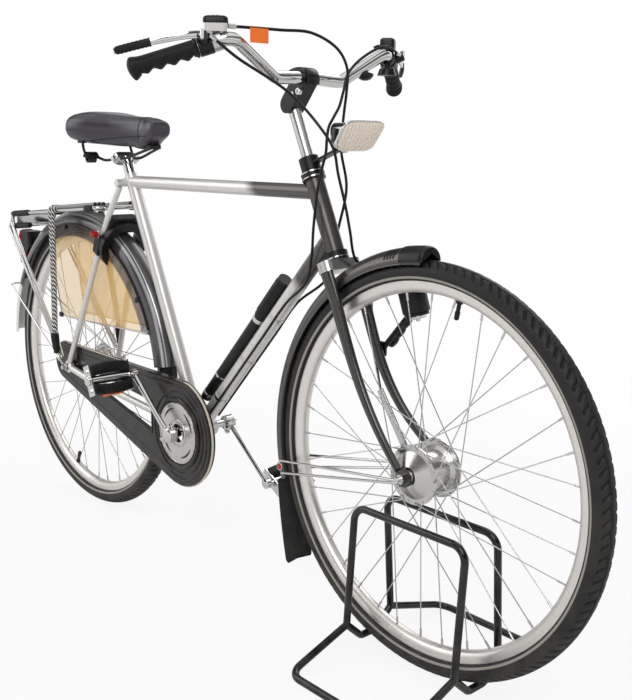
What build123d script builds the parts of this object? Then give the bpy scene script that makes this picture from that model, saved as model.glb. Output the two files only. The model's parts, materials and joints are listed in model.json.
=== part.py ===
"""City roadster with a chain case, drum hubs and carrier, held by its front wheel in a floor stand.

Lengths in mm. Working coordinates start under the rear axle, X forward, Y to the left, Z up from the floor;
at() moves a point to the shared frame, which starts at the middle of the footprint.
"""
import os
from math import atan2, cos, degrees, radians, sin, sqrt

from build123d import *

os.makedirs("parts", exist_ok=True)

# Wheels
WHEELBASE = 1087.0
TYRE_R = 350.0
TYRE_W = 40.0
TYRE_H = 33.0
RIM_W = 25.0
RIM_WALL = 2.0
RIM_DEPTH = 20.0
BEAD_DEPTH = 8.0
SPOKES = 36
SPOKE_CROSS = 3
SPOKE_R = 1.0
NIPPLE_R = 1.9
NIPPLE_LEN = 13.0
SPOKE_HEAD_R = 2.0
HUB_FLANGE_Y = 30.0
FLANGE_T = 3.0
FLANGE_RIM = 5.0
FRONT_FLANGE_R = 50.0
REAR_FLANGE_R = 45.0
DROP_R = 15.0

# Axles and fits
AXLE_R = 5.0
FRONT_OLD = 100.0
REAR_OLD = 130.0
DROP_T = 5.0
AXLE_NUT = 15.0
AXLE_NUT_T = 8.0
AXLE_END = 9.0
RUN_FIT = 0.05
SEAT_GAP = 0.3

# Frame
BB_AHEAD = 95.0
BB_DROP = 69.0
BB_R = 20.0
BB_HALF = 35.0
SEAT_ANGLE = 64.9
SEAT_TUBE_LEN = 586.0
SEAT_TUBE_R = 14.3
TOP_TUBE_Z = 796.0
TOP_TUBE_R = 13.5
DOWN_TUBE_R = 15.5
HEAD_TUBE_R = 17.0
HEAD_ANGLE = 65.5
TRAIL_X = 68.0
HEAD_LOW = 377.0
HEAD_HIGH = 513.0
DOWN_JOIN = 405.0
CHAIN_STAY_R = 8.0
SEAT_STAY_R = 7.0

# Steering
STEERER_R = 12.7
CUP_R = 21.0
CUP_LOW_T = 15.0
CUP_HIGH_T = 13.0
CROWN_T = 19.0
CROWN_W = 88.0
CROWN_D = 34.0
BLADE_Y = 33.5
BLADE_DEEP = 28.0
BLADE_WIDE = 16.0
BLADE_TIP_R = 6.5
QUILL_R = 11.1
BAR_R = 11.1
GRIP_R = 15.5
GRIP_LEN = 118.0

# Cranks and chain case
CRANK_LEN = 170.0
CRANK_ANGLE = 140.4
CRANK_Y = 80.0
CRANK_T = 12.0
CRANK_BOSS_R = 16.0
CRANK_EYE_R = 11.0
SPINDLE_R = 8.5
PEDAL_LEN = 96.0
PEDAL_GAP = 6.0
PEDAL_SPINDLE_R = 5.0
CASE_FRONT_R = 114.0
CASE_TAIL_R = 46.0
CASE_TAIL_BACK = 42.0
CASE_TAIL_RISE = 6.0
CASE_IN = 42.0
CASE_DISC_R = 66.0

# Guards and carrier
GUARD_T = 1.5
FRONT_GUARD_GAP = 21.0
REAR_GUARD_GAP = 22.9
FRONT_GUARD_W = 48.0
REAR_GUARD_W = 60.0
REAR_GUARD_BACK = 15.1
REAR_GUARD_DEPTH = 36.0
FRONT_GUARD_DEPTH = 28.0
STAY_R = 2.5
CARRIER_R = 5.0
CARRIER_HALF = 58.0

# Floor stand
STAND_R = 6.5
STAND_HALF_X = 123.0
STAND_TOP_Z = 264.0
STAND_TOP_Y = 40.0
STAND_JOINT_Z = 46.0
STAND_JOINT_Y = 56.0
STAND_RAIL_Y = 195.0
STAND_BEND = 26.0
STAND_GAP = 2.0

RIM_R = TYRE_R - TYRE_H
FRONT_GUARD_R = TYRE_R + FRONT_GUARD_GAP
REAR_GUARD_R = TYRE_R + REAR_GUARD_GAP
ORIGIN_X = (WHEELBASE + TYRE_R - REAR_GUARD_BACK - REAR_GUARD_R) / 2
FRONT_AXLE = (WHEELBASE, TYRE_R)
REAR_AXLE = (0.0, TYRE_R)
SIDES = (("right", -1), ("left", 1))


def at(x, y, z):
    """Point of the working coordinates in the shared frame."""
    return Vector(x - ORIGIN_X, y, z)


def side_plane(y):
    """Upright plane at y whose sketch reads X and Z and which faces the bicycle's right."""
    return Plane(origin=(-ORIGIN_X, y, 0), x_dir=(1, 0, 0), z_dir=(0, -1, 0))


def section_plane(axle, angle=90.0):
    """Half plane through a wheel axle at an angle from forward; the sketch reads Y and radius."""
    a = radians(angle)
    return Plane(origin=at(axle[0], 0, axle[1]), x_dir=(0, 1, 0), z_dir=(sin(a), 0, -cos(a)))


def axle_axis(axle, way=-1):
    """Axis through a wheel axle; turning about it with way -1 goes from forward to up."""
    return Axis(at(axle[0], 0, axle[1]), (0, way, 0))


def polar(axle, radius, angle, y=0.0):
    """Point at a radius and angle round a wheel axle."""
    a = radians(angle)
    return at(axle[0] + radius * cos(a), y, axle[1] + radius * sin(a))


def head(t, forward=0.0, y=0.0):
    """Point on the steering axis, t above axle height along it and forward square to it."""
    a = radians(HEAD_ANGLE)
    x = WHEELBASE - TRAIL_X - t * cos(a) + forward * sin(a)
    return at(x, y, TYRE_R + t * sin(a) + forward * cos(a))


def head_plane(t):
    """Plane square to the steering axis whose sketch reads forward and Y."""
    up = (head(1) - head(0)).normalized()
    return Plane(origin=head(t), x_dir=(head(0, 1) - head(0)).normalized(), z_dir=up)


def bar(a, b, radius, end_radius=None, mode=Mode.ADD):
    """Straight round bar, or taper to end_radius, from a to b in the open part."""
    run = b - a
    plane = Plane(origin=a, z_dir=run.normalized())
    with BuildSketch(plane) as near:
        Circle(radius)
    if end_radius is None:
        extrude(near.sketch, amount=run.length, mode=mode)
    else:
        with BuildSketch(plane.offset(run.length)) as far:
            Circle(end_radius)
        loft([near.sketch, far.sketch], mode=mode)


def bent(points, bends, radius, mode=Mode.ADD):
    """Round tube along straight runs joined by tangent arcs in the open part."""
    with BuildLine() as path:
        FilletPolyline(*points, radius=bends)
    wire = path.wire()
    with BuildSketch(Plane(origin=wire @ 0, z_dir=wire % 0)) as ring:
        Circle(radius)
    sweep(ring.sketch, path=wire, mode=mode)


def block(centre, size, x_dir=(1, 0, 0), z_dir=(0, 0, 1), round_off=1.0, mode=Mode.ADD):
    """Box about a centre with the edges along its third size rounded, in the open part."""
    with BuildSketch(Plane(origin=centre, x_dir=x_dir, z_dir=z_dir)) as base:
        RectangleRounded(size[0], size[1], round_off)
    extrude(base.sketch, amount=size[2] / 2, both=True, mode=mode)


def channel(axle, crown, width, depth, start, end):
    """Curved mudguard shell, a half round with straight skirts, from one angle to another in the open part."""
    edge = crown - depth
    half = width / 2
    inner = half - GUARD_T
    spring = crown - half
    with BuildSketch(section_plane(axle, start)) as profile:
        with BuildLine():
            Line((-half, edge), (-half, spring))
            ThreePointArc((-half, spring), (0, crown), (half, spring))
            Polyline((half, spring), (half, edge), (inner, edge), (inner, spring))
            ThreePointArc((inner, spring), (0, crown - GUARD_T), (-inner, spring))
            Polyline((-inner, spring), (-inner, edge), (-half, edge))
        make_face()
    revolve(profile.sketch, axis=axle_axis(axle), revolution_arc=end - start)


def finish(part, name):
    """Name a finished piece and write its STEP file."""
    part.label = name
    export_step(part, f"parts/{name}.step")


# Wheels: the like pieces of both, from one table
WHEELS = (
    # name, axle, flange radius, overlocknut width, dome height
    ("front", FRONT_AXLE, FRONT_FLANGE_R, FRONT_OLD, 13.0),
    ("rear", REAR_AXLE, REAR_FLANGE_R, REAR_OLD, 7.0),
)
RIM_SIDE = RIM_W / 2
BEAD_SIDE = RIM_SIDE - RIM_WALL
BEAD_R = RIM_R - BEAD_DEPTH
RIM_INNER_R = RIM_R - RIM_DEPTH
TYRE_MID_R = TYRE_R - TYRE_W / 2
HOLE_INSET = 4.0
HUB_END = 3.0
HUB_NECK_R = 11.0
SPOKE_LIFT = 1.7

for name, axle, flange_r, old, dome in WHEELS:
    with BuildPart() as tyre:
        with BuildSketch(section_plane(axle)):
            with BuildLine():
                Line((-BEAD_SIDE, BEAD_R), (-BEAD_SIDE, RIM_R))
                Line((-BEAD_SIDE, RIM_R), (-TYRE_W / 2, TYRE_MID_R))
                ThreePointArc((-TYRE_W / 2, TYRE_MID_R), (0, TYRE_R), (TYRE_W / 2, TYRE_MID_R))
                Line((TYRE_W / 2, TYRE_MID_R), (BEAD_SIDE, RIM_R))
                Line((BEAD_SIDE, RIM_R), (BEAD_SIDE, BEAD_R))
                Line((BEAD_SIDE, BEAD_R), (-BEAD_SIDE, BEAD_R))
            make_face()
        revolve(axis=axle_axis(axle))
    finish(tyre.part, f"{name}_tyre")

    with BuildPart() as rim:
        with BuildSketch(section_plane(axle)):
            with BuildLine():
                Line((-RIM_SIDE, RIM_R), (-BEAD_SIDE, RIM_R))
                Line((-BEAD_SIDE, RIM_R), (-BEAD_SIDE, BEAD_R))
                Line((-BEAD_SIDE, BEAD_R), (BEAD_SIDE, BEAD_R))
                Line((BEAD_SIDE, BEAD_R), (BEAD_SIDE, RIM_R))
                Line((BEAD_SIDE, RIM_R), (RIM_SIDE, RIM_R))
                Line((RIM_SIDE, RIM_R), (RIM_SIDE, BEAD_R))
                ThreePointArc((RIM_SIDE, BEAD_R), (0, RIM_INNER_R), (-RIM_SIDE, BEAD_R))
                Line((-RIM_SIDE, BEAD_R), (-RIM_SIDE, RIM_R))
            make_face()
        revolve(axis=axle_axis(axle))
    finish(rim.part, f"{name}_rim")

    hole_r = flange_r - HOLE_INSET
    flange_out = HUB_FLANGE_Y + FLANGE_T / 2
    flange_in = HUB_FLANGE_Y - FLANGE_T / 2
    shell_r = flange_r * 0.68
    with BuildPart() as hub:
        with BuildSketch(section_plane(axle)):
            with BuildLine():
                Polyline((HUB_END - old / 2, AXLE_R + RUN_FIT), (HUB_END - old / 2, HUB_NECK_R),
                         (-flange_out - dome, HUB_NECK_R), (-flange_out - dome, shell_r * 0.5),
                         (-flange_out, flange_r - 2 * FLANGE_RIM), (-flange_out, flange_r),
                         (-flange_in, flange_r), (-flange_in, flange_r - 2 * FLANGE_RIM),
                         (-flange_in + 6, shell_r), (flange_in - 6, shell_r),
                         (flange_in, flange_r - 2 * FLANGE_RIM), (flange_in, flange_r),
                         (flange_out, flange_r), (flange_out, AXLE_R + RUN_FIT), close=True)
            make_face()
        revolve(axis=axle_axis(axle))
        for y in (-HUB_FLANGE_Y, HUB_FLANGE_Y):
            turn = 0.0 if y < 0 else 360.0 / SPOKES
            plane = Plane(origin=at(axle[0], y, axle[1]), x_dir=(1, 0, 0), z_dir=(0, -1, 0))
            with BuildSketch(plane):
                with PolarLocations(hole_r, SPOKES // 2, start_angle=turn):
                    Circle(SPOKE_R + SEAT_GAP)
            extrude(amount=FLANGE_T, both=True, mode=Mode.SUBTRACT)
    finish(hub.part, f"{name}_hub")

    pitch = 360.0 / SPOKES
    lean = SPOKE_CROSS * 2 * pitch
    reach = FLANGE_T / 2 + SPOKE_R + SPOKE_LIFT
    elbow = reach + FLANGE_T / 2 + SEAT_GAP + SPOKE_R
    copies = []
    for first, side, lead in ((0, -1, 1), (2, -1, -1), (1, 1, 1), (3, 1, -1)):
        start = polar(axle, hole_r, first * pitch, side * (HUB_FLANGE_Y + lead * reach))
        stop = polar(axle, RIM_INNER_R - SEAT_GAP, first * pitch + lead * lean, side * NIPPLE_R)
        run = (stop - start).normalized()
        through = Vector(0, -side * lead, 0)
        with BuildPart() as spoke:
            bar(start, stop - run * NIPPLE_LEN, SPOKE_R)
            bar(stop - run * NIPPLE_LEN, stop, NIPPLE_R)
            bar(start, start + through * elbow, SPOKE_R)
            bar(start + through * (elbow - SPOKE_R), start + through * elbow, SPOKE_HEAD_R)
        copies += [spoke.part.rotate(axle_axis(axle), k * 4 * pitch) for k in range(SPOKES // 4)]
    with BuildPart() as spokes:
        add(copies)
    finish(spokes.part, f"{name}_spokes")

    drop_out = old / 2 + DROP_T
    with BuildPart() as axle_piece:
        bar(at(axle[0], -drop_out - AXLE_NUT_T - AXLE_END, axle[1]),
            at(axle[0], drop_out + AXLE_NUT_T + AXLE_END, axle[1]), AXLE_R)
        for side_name, side in SIDES:
            plane = Plane(origin=at(axle[0], side * drop_out, axle[1]), x_dir=(1, 0, 0), z_dir=(0, side, 0))
            with BuildSketch(plane):
                RegularPolygon(AXLE_NUT / 2, 6, major_radius=False)
            extrude(amount=AXLE_NUT_T)
    finish(axle_piece.part, f"{name}_axle")

# Frame tubes
BB_X = TYRE_R + BB_AHEAD
BB_Z = TYRE_R - BB_DROP
bb = at(BB_X, 0, BB_Z)
seat_run = Vector(-cos(radians(SEAT_ANGLE)), 0, sin(radians(SEAT_ANGLE)))
seat_top = bb + seat_run * SEAT_TUBE_LEN
top_rear = bb + seat_run * ((TOP_TUBE_Z - BB_Z) / sin(radians(SEAT_ANGLE)))
top_t = (TOP_TUBE_Z - TYRE_R) / sin(radians(HEAD_ANGLE))
STEER_BORE = STEERER_R + 2 * SEAT_GAP

with BuildPart() as head_tube:
    with BuildSketch(head_plane(HEAD_LOW)):
        Circle(HEAD_TUBE_R)
        Circle(STEER_BORE, mode=Mode.SUBTRACT)
    extrude(amount=HEAD_HIGH - HEAD_LOW)
finish(head_tube.part, "head_tube")

with BuildPart() as headset:
    with BuildSketch(head_plane(HEAD_LOW)):
        Circle(CUP_R)
        Circle(STEERER_R + RUN_FIT, mode=Mode.SUBTRACT)
    extrude(amount=-CUP_LOW_T)
    with BuildSketch(head_plane(HEAD_HIGH)):
        Circle(CUP_R)
        Circle(STEERER_R + RUN_FIT, mode=Mode.SUBTRACT)
    extrude(amount=CUP_HIGH_T)
finish(headset.part, "headset_cups")

with BuildPart() as bb_shell:
    bar(bb + Vector(0, -BB_HALF, 0), bb + Vector(0, BB_HALF, 0), BB_R)
    bar(bb + Vector(0, -BB_HALF, 0), bb + Vector(0, BB_HALF, 0), SPINDLE_R + RUN_FIT, mode=Mode.SUBTRACT)
finish(bb_shell.part, "bottom_bracket_shell")

with BuildPart() as top_tube:
    bar(top_rear, head(top_t), TOP_TUBE_R)
    bar(bb, seat_top, SEAT_TUBE_R, mode=Mode.SUBTRACT)
    bar(head(HEAD_LOW), head(HEAD_HIGH), HEAD_TUBE_R, mode=Mode.SUBTRACT)
    bar(head(HEAD_HIGH), head(HEAD_HIGH + CUP_HIGH_T), CUP_R + SEAT_GAP, mode=Mode.SUBTRACT)
finish(top_tube.part, "top_tube")

with BuildPart() as down_tube:
    bar(bb, head(DOWN_JOIN), DOWN_TUBE_R)
    bar(bb + Vector(0, -BB_HALF, 0), bb + Vector(0, BB_HALF, 0), BB_R, mode=Mode.SUBTRACT)
    bar(bb, seat_top, SEAT_TUBE_R, mode=Mode.SUBTRACT)
    bar(head(HEAD_LOW), head(HEAD_HIGH), HEAD_TUBE_R, mode=Mode.SUBTRACT)
finish(down_tube.part, "down_tube")

# Rear triangle
REAR_DROP_Y = REAR_OLD / 2 + DROP_T / 2
CASE_OUT = REAR_DROP_Y - CHAIN_STAY_R - 4.0
WINDOW_FRONT_X = BB_X - 100.0
WINDOW_REAR_X = 58.0
STAY_TOP = (186.0, 24.0, 785.0)
STAY_BEND = (160.0, 42.0, 712.0)


def stay_z(x):
    """Height of the chain stay line from the bottom bracket to the rear axle."""
    return TYRE_R - BB_DROP * x / BB_X


with BuildPart() as chain_stays:
    for side_name, side in SIDES:
        inner = side * (CASE_IN - CHAIN_STAY_R - SEAT_GAP)
        outer = side * REAR_DROP_Y
        path = (at(BB_X, inner * 0.85, BB_Z), at(WINDOW_FRONT_X - 8, inner, stay_z(WINDOW_FRONT_X - 8)),
                at(WINDOW_REAR_X + 18, outer, stay_z(WINDOW_REAR_X + 18)), at(DROP_R, outer, stay_z(DROP_R)))
        bent(path, 60.0, CHAIN_STAY_R)
        with BuildSketch(Plane(origin=at(0, side * REAR_OLD / 2, TYRE_R), x_dir=(1, 0, 0), z_dir=(0, side, 0))):
            Circle(DROP_R)
        extrude(amount=DROP_T)
        bar(at(0, outer - DROP_T, TYRE_R), at(0, outer + DROP_T, TYRE_R), AXLE_R + RUN_FIT, mode=Mode.SUBTRACT)
    bar(bb + Vector(0, -CASE_IN, 0), bb + Vector(0, CASE_IN, 0), BB_R, mode=Mode.SUBTRACT)
finish(chain_stays.part, "chain_stays")

STAY_ANGLE = degrees(atan2(STAY_BEND[2] - TYRE_R, STAY_BEND[0]))
with BuildPart() as seat_stays:
    for side_name, side in SIDES:
        foot = polar(REAR_AXLE, DROP_R + SEAT_GAP, STAY_ANGLE, side * REAR_DROP_Y)
        bent((at(STAY_TOP[0], side * STAY_TOP[1], STAY_TOP[2]),
              at(STAY_BEND[0], side * STAY_BEND[1], STAY_BEND[2]), foot), 90.0, SEAT_STAY_R)
finish(seat_stays.part, "seat_stays")

LUG_R = 8.0
LUG_SIZE = (34.0, 26.0, 18.0)
POST_R = 13.0
POST_UP = 40.0
POST_IN = 120.0
lug = at(STAY_TOP[0], 0, STAY_TOP[2] + LUG_R)
with BuildPart() as seat_tube:
    bar(lug + Vector(0, -STAY_TOP[1] - 8, 0), lug + Vector(0, STAY_TOP[1] + 8, 0), LUG_R)
    block((lug + top_rear) * 0.5, LUG_SIZE, round_off=4)
    for side_name, side in SIDES:
        bend = at(STAY_BEND[0], side * STAY_BEND[1], STAY_BEND[2])
        top = at(STAY_TOP[0], side * STAY_TOP[1], STAY_TOP[2])
        bar(bend, top, SEAT_STAY_R, mode=Mode.SUBTRACT)
    bar(bb, seat_top, SEAT_TUBE_R)
    bar(bb + Vector(0, -BB_HALF, 0), bb + Vector(0, BB_HALF, 0), BB_R, mode=Mode.SUBTRACT)
    bar(top_rear, head(top_t), TOP_TUBE_R, mode=Mode.SUBTRACT)
    bar(top_rear, seat_top, SEAT_TUBE_R)
    bar(seat_top - seat_run * POST_IN, seat_top + seat_run * POST_UP, POST_R, mode=Mode.SUBTRACT)
finish(seat_tube.part, "seat_tube")

# Seat post and saddle
post_top = seat_top + seat_run * POST_UP
with BuildPart() as seat_post:
    bar(seat_top - seat_run * POST_IN, post_top, POST_R)
finish(seat_post.part, "seat_post")

SADDLE = (
    # X, width, height, top Z
    (328.0, 34.0, 36.0, 916.0),
    (316.0, 46.0, 54.0, 926.0),
    (268.0, 58.0, 58.0, 932.0),
    (190.0, 104.0, 62.0, 936.0),
    (130.0, 168.0, 64.0, 943.0),
    (88.0, 186.0, 62.0, 949.0),
    (62.0, 156.0, 42.0, 944.0),
)
SADDLE_TUCK = 5.0
RAIL_R = 3.5
RAIL_Y = 20.0
SEAT_CLAMP_R = 15.0
SEAT_CLAMP_HALF = 27.0
COIL_R = 12.0
COIL_W = 26.0
COIL_AT = (104.0, 46.0, 848.0)
NOSE = at(292, 0, 872)
NOSE_SIZE = (14.0, 30.0, 10.0)
RIB_AT = (92.0, 60.0, 884.0)
RIB_SIZE = (24.0, 14.0, 12.0)
with BuildPart() as saddle:
    for x, width, height, top in SADDLE:
        low = top - height
        side = top - min(0.58 * height, 0.45 * width)
        with BuildSketch(Plane(origin=at(x, 0, 0), x_dir=(0, 1, 0), z_dir=(1, 0, 0))):
            with BuildLine():
                Line((SADDLE_TUCK - width / 2, low), (width / 2 - SADDLE_TUCK, low))
                Line((width / 2 - SADDLE_TUCK, low), (width / 2, side))
                ThreePointArc((width / 2, side), (0, top), (-width / 2, side))
                Line((-width / 2, side), (SADDLE_TUCK - width / 2, low))
            make_face()
    loft()
    block(NOSE, [size + 2 * SEAT_GAP for size in NOSE_SIZE], round_off=3, mode=Mode.SUBTRACT)
    for side_name, side in SIDES:
        pocket = [size + 2 * SEAT_GAP for size in RIB_SIZE]
        block(at(RIB_AT[0], side * RIB_AT[1], RIB_AT[2]), pocket, mode=Mode.SUBTRACT)
finish(saddle.part, "saddle")

with BuildPart() as saddle_frame:
    clamp = post_top + Vector(-6, 0, -2)
    bar(clamp + Vector(0, -SEAT_CLAMP_HALF, 0), clamp + Vector(0, SEAT_CLAMP_HALF, 0), SEAT_CLAMP_R)
    for side_name, side in SIDES:
        coil = at(COIL_AT[0], side * COIL_AT[1], COIL_AT[2])
        bar(coil + Vector(0, -COIL_W / 2, 0), coil + Vector(0, COIL_W / 2, 0), COIL_R)
        bar(coil, clamp + Vector(0, side * RAIL_Y, 0), RAIL_R)
        bar(clamp + Vector(0, side * RAIL_Y, 0), NOSE + Vector(0, side * 9, -RAIL_R), RAIL_R)
        bar(coil + Vector(0, side * 8, 0), at(RIB_AT[0], side * RIB_AT[1], RIB_AT[2]), RAIL_R)
        block(at(RIB_AT[0], side * RIB_AT[1], RIB_AT[2]), RIB_SIZE)
    block(NOSE, NOSE_SIZE, round_off=3)
    bar(seat_top, post_top, POST_R, mode=Mode.SUBTRACT)
finish(saddle_frame.part, "saddle_frame")

# Crank set, pedals and chain case
crank_a = radians(CRANK_ANGLE)
CRANK_IN = CRANK_Y - CRANK_T / 2
with BuildPart() as cranks:
    bar(bb + Vector(0, -CRANK_Y - CRANK_T / 2, 0), bb + Vector(0, CRANK_Y + CRANK_T / 2, 0), SPINDLE_R)
    for side_name, side in SIDES:
        eye = (BB_X - side * CRANK_LEN * cos(crank_a), BB_Z - side * CRANK_LEN * sin(crank_a))
        with BuildSketch(side_plane(side * CRANK_Y)) as arm:
            with Locations((BB_X, BB_Z)):
                Circle(CRANK_BOSS_R)
            with Locations(eye):
                Circle(CRANK_EYE_R)
            make_hull()
        extrude(amount=CRANK_T / 2, both=True)
        bar(at(eye[0], side * CRANK_Y, eye[1]),
            at(eye[0], side * (CRANK_Y + CRANK_T / 2 + PEDAL_GAP + PEDAL_LEN), eye[1]), PEDAL_SPINDLE_R)
finish(cranks.part, "cranks")

PEDAL_CORE_R = 9.0
PEDAL_PLATE_T = 3.0
PEDAL_DEEP = 66.0
PEDAL_HIGH = 30.0
RUBBER_DEEP = 24.0
PEDAL_TILTS = {-1: -67.0, 1: -30.0}
for side_name, side in SIDES:
    eye = at(BB_X - side * CRANK_LEN * cos(crank_a), 0, BB_Z - side * CRANK_LEN * sin(crank_a))
    near = CRANK_Y + CRANK_T / 2 + PEDAL_GAP
    tilt = radians(PEDAL_TILTS[side])
    flat = (cos(tilt), 0, sin(tilt))
    up = (-sin(tilt), 0, cos(tilt))
    middle = eye + Vector(0, side * (near + PEDAL_LEN / 2), 0)
    with BuildPart() as pedal:
        bar(eye + Vector(0, side * near, 0), eye + Vector(0, side * (near + PEDAL_LEN), 0), PEDAL_CORE_R)
        for y in (near + PEDAL_PLATE_T / 2, near + PEDAL_LEN - PEDAL_PLATE_T / 2):
            block(eye + Vector(0, side * y, 0), (PEDAL_DEEP, PEDAL_PLATE_T, PEDAL_HIGH - 6), flat, up)
        bar(eye + Vector(0, side * (near - 1), 0), eye + Vector(0, side * (near + PEDAL_LEN + 1), 0),
            PEDAL_SPINDLE_R + RUN_FIT, mode=Mode.SUBTRACT)
    finish(pedal.part, f"pedal_{side_name}_cage")
    with BuildPart() as rubbers:
        for way in (-1, 1):
            centre = middle + Vector(*flat) * (way * (PEDAL_DEEP - RUBBER_DEEP) / 2)
            block(centre, (RUBBER_DEEP, PEDAL_HIGH, PEDAL_LEN - 2 * PEDAL_PLATE_T), flat, (0, 1, 0), 6.0)
    finish(rubbers.part, f"pedal_{side_name}_rubbers")

CASE_HOLE_R = 24.0
CASE_AXLE_HOLE_R = 17.0
with BuildPart() as chain_case:
    with BuildSketch(side_plane(-CASE_IN)) as outline:
        with Locations((BB_X, BB_Z)):
            Circle(CASE_FRONT_R)
        with Locations((-CASE_TAIL_BACK, TYRE_R + CASE_TAIL_RISE)):
            Circle(CASE_TAIL_R)
        make_hull()
        front_z = stay_z(WINDOW_FRONT_X)
        rear_z = stay_z(WINDOW_REAR_X)
        Polygon((WINDOW_FRONT_X, front_z - 38), (WINDOW_FRONT_X, front_z + 36), (WINDOW_REAR_X, rear_z + 18),
                (WINDOW_REAR_X, rear_z - 14), align=None, mode=Mode.SUBTRACT)
        with Locations((BB_X, BB_Z)):
            Circle(CASE_HOLE_R, mode=Mode.SUBTRACT)
        with Locations((0, TYRE_R)):
            Circle(CASE_AXLE_HOLE_R, mode=Mode.SUBTRACT)
    extrude(amount=CASE_OUT - CASE_IN)
finish(chain_case.part, "chain_case")

DISC_T = 2.5
with BuildPart() as case_disc:
    with BuildSketch(side_plane(-CASE_OUT)):
        with Locations((BB_X, BB_Z)):
            Circle(CASE_DISC_R)
            Circle(CASE_HOLE_R - 4, mode=Mode.SUBTRACT)
    extrude(amount=DISC_T)
finish(case_disc.part, "chain_case_disc")

# Rear guard, coat guards and lamp
REAR_GUARD = (-REAR_GUARD_BACK, TYRE_R)
GUARD_FRONT_DEG = 8.0
GUARD_WHITE_DEG = 152.0
GUARD_TAIL_DEG = 175.0
with BuildPart() as rear_guard:
    channel(REAR_GUARD, REAR_GUARD_R, REAR_GUARD_W, REAR_GUARD_DEPTH, GUARD_FRONT_DEG, GUARD_WHITE_DEG)
    bar(bb, seat_top, SEAT_TUBE_R + SEAT_GAP, mode=Mode.SUBTRACT)
finish(rear_guard.part, "rear_mudguard")
with BuildPart() as rear_tail:
    channel(REAR_GUARD, REAR_GUARD_R, REAR_GUARD_W, REAR_GUARD_DEPTH, GUARD_WHITE_DEG, GUARD_TAIL_DEG)
finish(rear_tail.part, "rear_mudguard_tail")

COAT_T = 1.2
COAT_LOW_Z = 458.0
COAT_R = REAR_GUARD_R - REAR_GUARD_DEPTH + 6
COAT_FRONT_DEG = 20.0
COAT_REAR_DEG = 112.0
with BuildPart() as coat_guards:
    for side_name, side in SIDES:
        plane = side_plane(side * (REAR_GUARD_W / 2 + SEAT_GAP + COAT_T / 2))
        with BuildSketch(plane):
            with BuildLine():
                mid = radians((COAT_FRONT_DEG + COAT_REAR_DEG) / 2)
                first = radians(COAT_FRONT_DEG)
                last = radians(COAT_REAR_DEG)
                p1 = (-REAR_GUARD_BACK + COAT_R * cos(first), TYRE_R + COAT_R * sin(first))
                p2 = (-REAR_GUARD_BACK + COAT_R * cos(mid), TYRE_R + COAT_R * sin(mid))
                p3 = (-REAR_GUARD_BACK + COAT_R * cos(last), TYRE_R + COAT_R * sin(last))
                ThreePointArc(p1, p2, p3)
                Line(p3, (-95, COAT_LOW_Z))
                Line((-95, COAT_LOW_Z), p1)
            make_face()
        extrude(amount=COAT_T / 2, both=True)
finish(coat_guards.part, "coat_guards")

LAMP_DEG = 136.0
TAIL_SIZE = (48.0, 44.0, 56.0)
TAIL_LENS = (9.0, 42.0, 84.0)
TAIL_OUT = 24.0
lamp_at = polar(REAR_GUARD, REAR_GUARD_R + TAIL_OUT, LAMP_DEG)
with BuildPart() as tail_lamp:
    block(lamp_at, TAIL_SIZE, round_off=8)
    bar(at(REAR_GUARD[0], -TAIL_SIZE[1], TYRE_R), at(REAR_GUARD[0], TAIL_SIZE[1], TYRE_R),
        REAR_GUARD_R + SEAT_GAP, mode=Mode.SUBTRACT)
finish(tail_lamp.part, "tail_lamp")
with BuildPart() as tail_lens:
    drop = (TAIL_LENS[2] - TAIL_SIZE[2]) / 2
    block(lamp_at + Vector(-TAIL_SIZE[0] / 2 - TAIL_LENS[0] / 2 - SEAT_GAP, 0, -drop), TAIL_LENS, round_off=4)
finish(tail_lens.part, "tail_lens")

EYE_Y = REAR_OLD / 2 + DROP_T + CARRIER_R + SEAT_GAP
HOOP_Z = 512.0
HOOP_X = -REAR_GUARD_BACK - sqrt(REAR_GUARD_R ** 2 - (HOOP_Z - TYRE_R) ** 2) - STAY_R - SEAT_GAP
with BuildPart() as rear_hoop:
    bent((at(-30, -EYE_Y, TYRE_R + 10), at(HOOP_X, -42, HOOP_Z), at(HOOP_X, 42, HOOP_Z), at(-30, EYE_Y, TYRE_R + 10)),
         12.0, STAY_R)
finish(rear_hoop.part, "rear_guard_stay")

# Carrier with its straps
DECK_REAR = (-REAR_GUARD_BACK - 272.0, REAR_GUARD_R + TYRE_R - 22.0)
DECK_FRONT = (STAY_BEND[0] - 22.0, DECK_REAR[1] + 36.0)
DECK_DROP = 34.0
DECK_BEND = 16.0
LEG_GAP = 13.0
LEG_R = 4.0
LEG_FOOT = (-24.0, 24.0)


def deck(x, y, lift=0.0):
    """Point above the carrier deck's middle plane."""
    share = (x - DECK_REAR[0]) / (DECK_FRONT[0] - DECK_REAR[0])
    return at(x, y, DECK_REAR[1] + share * (DECK_FRONT[1] - DECK_REAR[1]) + lift)


with BuildPart() as carrier:
    for side_name, side in SIDES:
        edge = side * CARRIER_HALF
        bent((deck(DECK_FRONT[0], 0), deck(DECK_FRONT[0], edge), deck(DECK_REAR[0], edge),
              deck(DECK_REAR[0], edge, -DECK_DROP)), DECK_BEND, CARRIER_R)
        bar(deck(DECK_REAR[0], side * 20), deck(DECK_FRONT[0], side * 20), STAY_R)
        bar(deck(DECK_FRONT[0], side * 36), at(STAY_BEND[0] + 8, side * 36, DECK_FRONT[1]), 4.0)
        bar(at(STAY_TOP[0], side * STAY_TOP[1], STAY_TOP[2]),
            at(STAY_BEND[0], side * STAY_BEND[1], STAY_BEND[2]), SEAT_STAY_R + SEAT_GAP, mode=Mode.SUBTRACT)
    for lift in (0.0, -DECK_DROP + CARRIER_R):
        bar(deck(DECK_REAR[0], -CARRIER_HALF, lift), deck(DECK_REAR[0], CARRIER_HALF, lift), CARRIER_R)
    block(deck(DECK_REAR[0] - CARRIER_R, 0, -DECK_DROP / 2), (4, 90, DECK_DROP), round_off=1.5)
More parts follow.
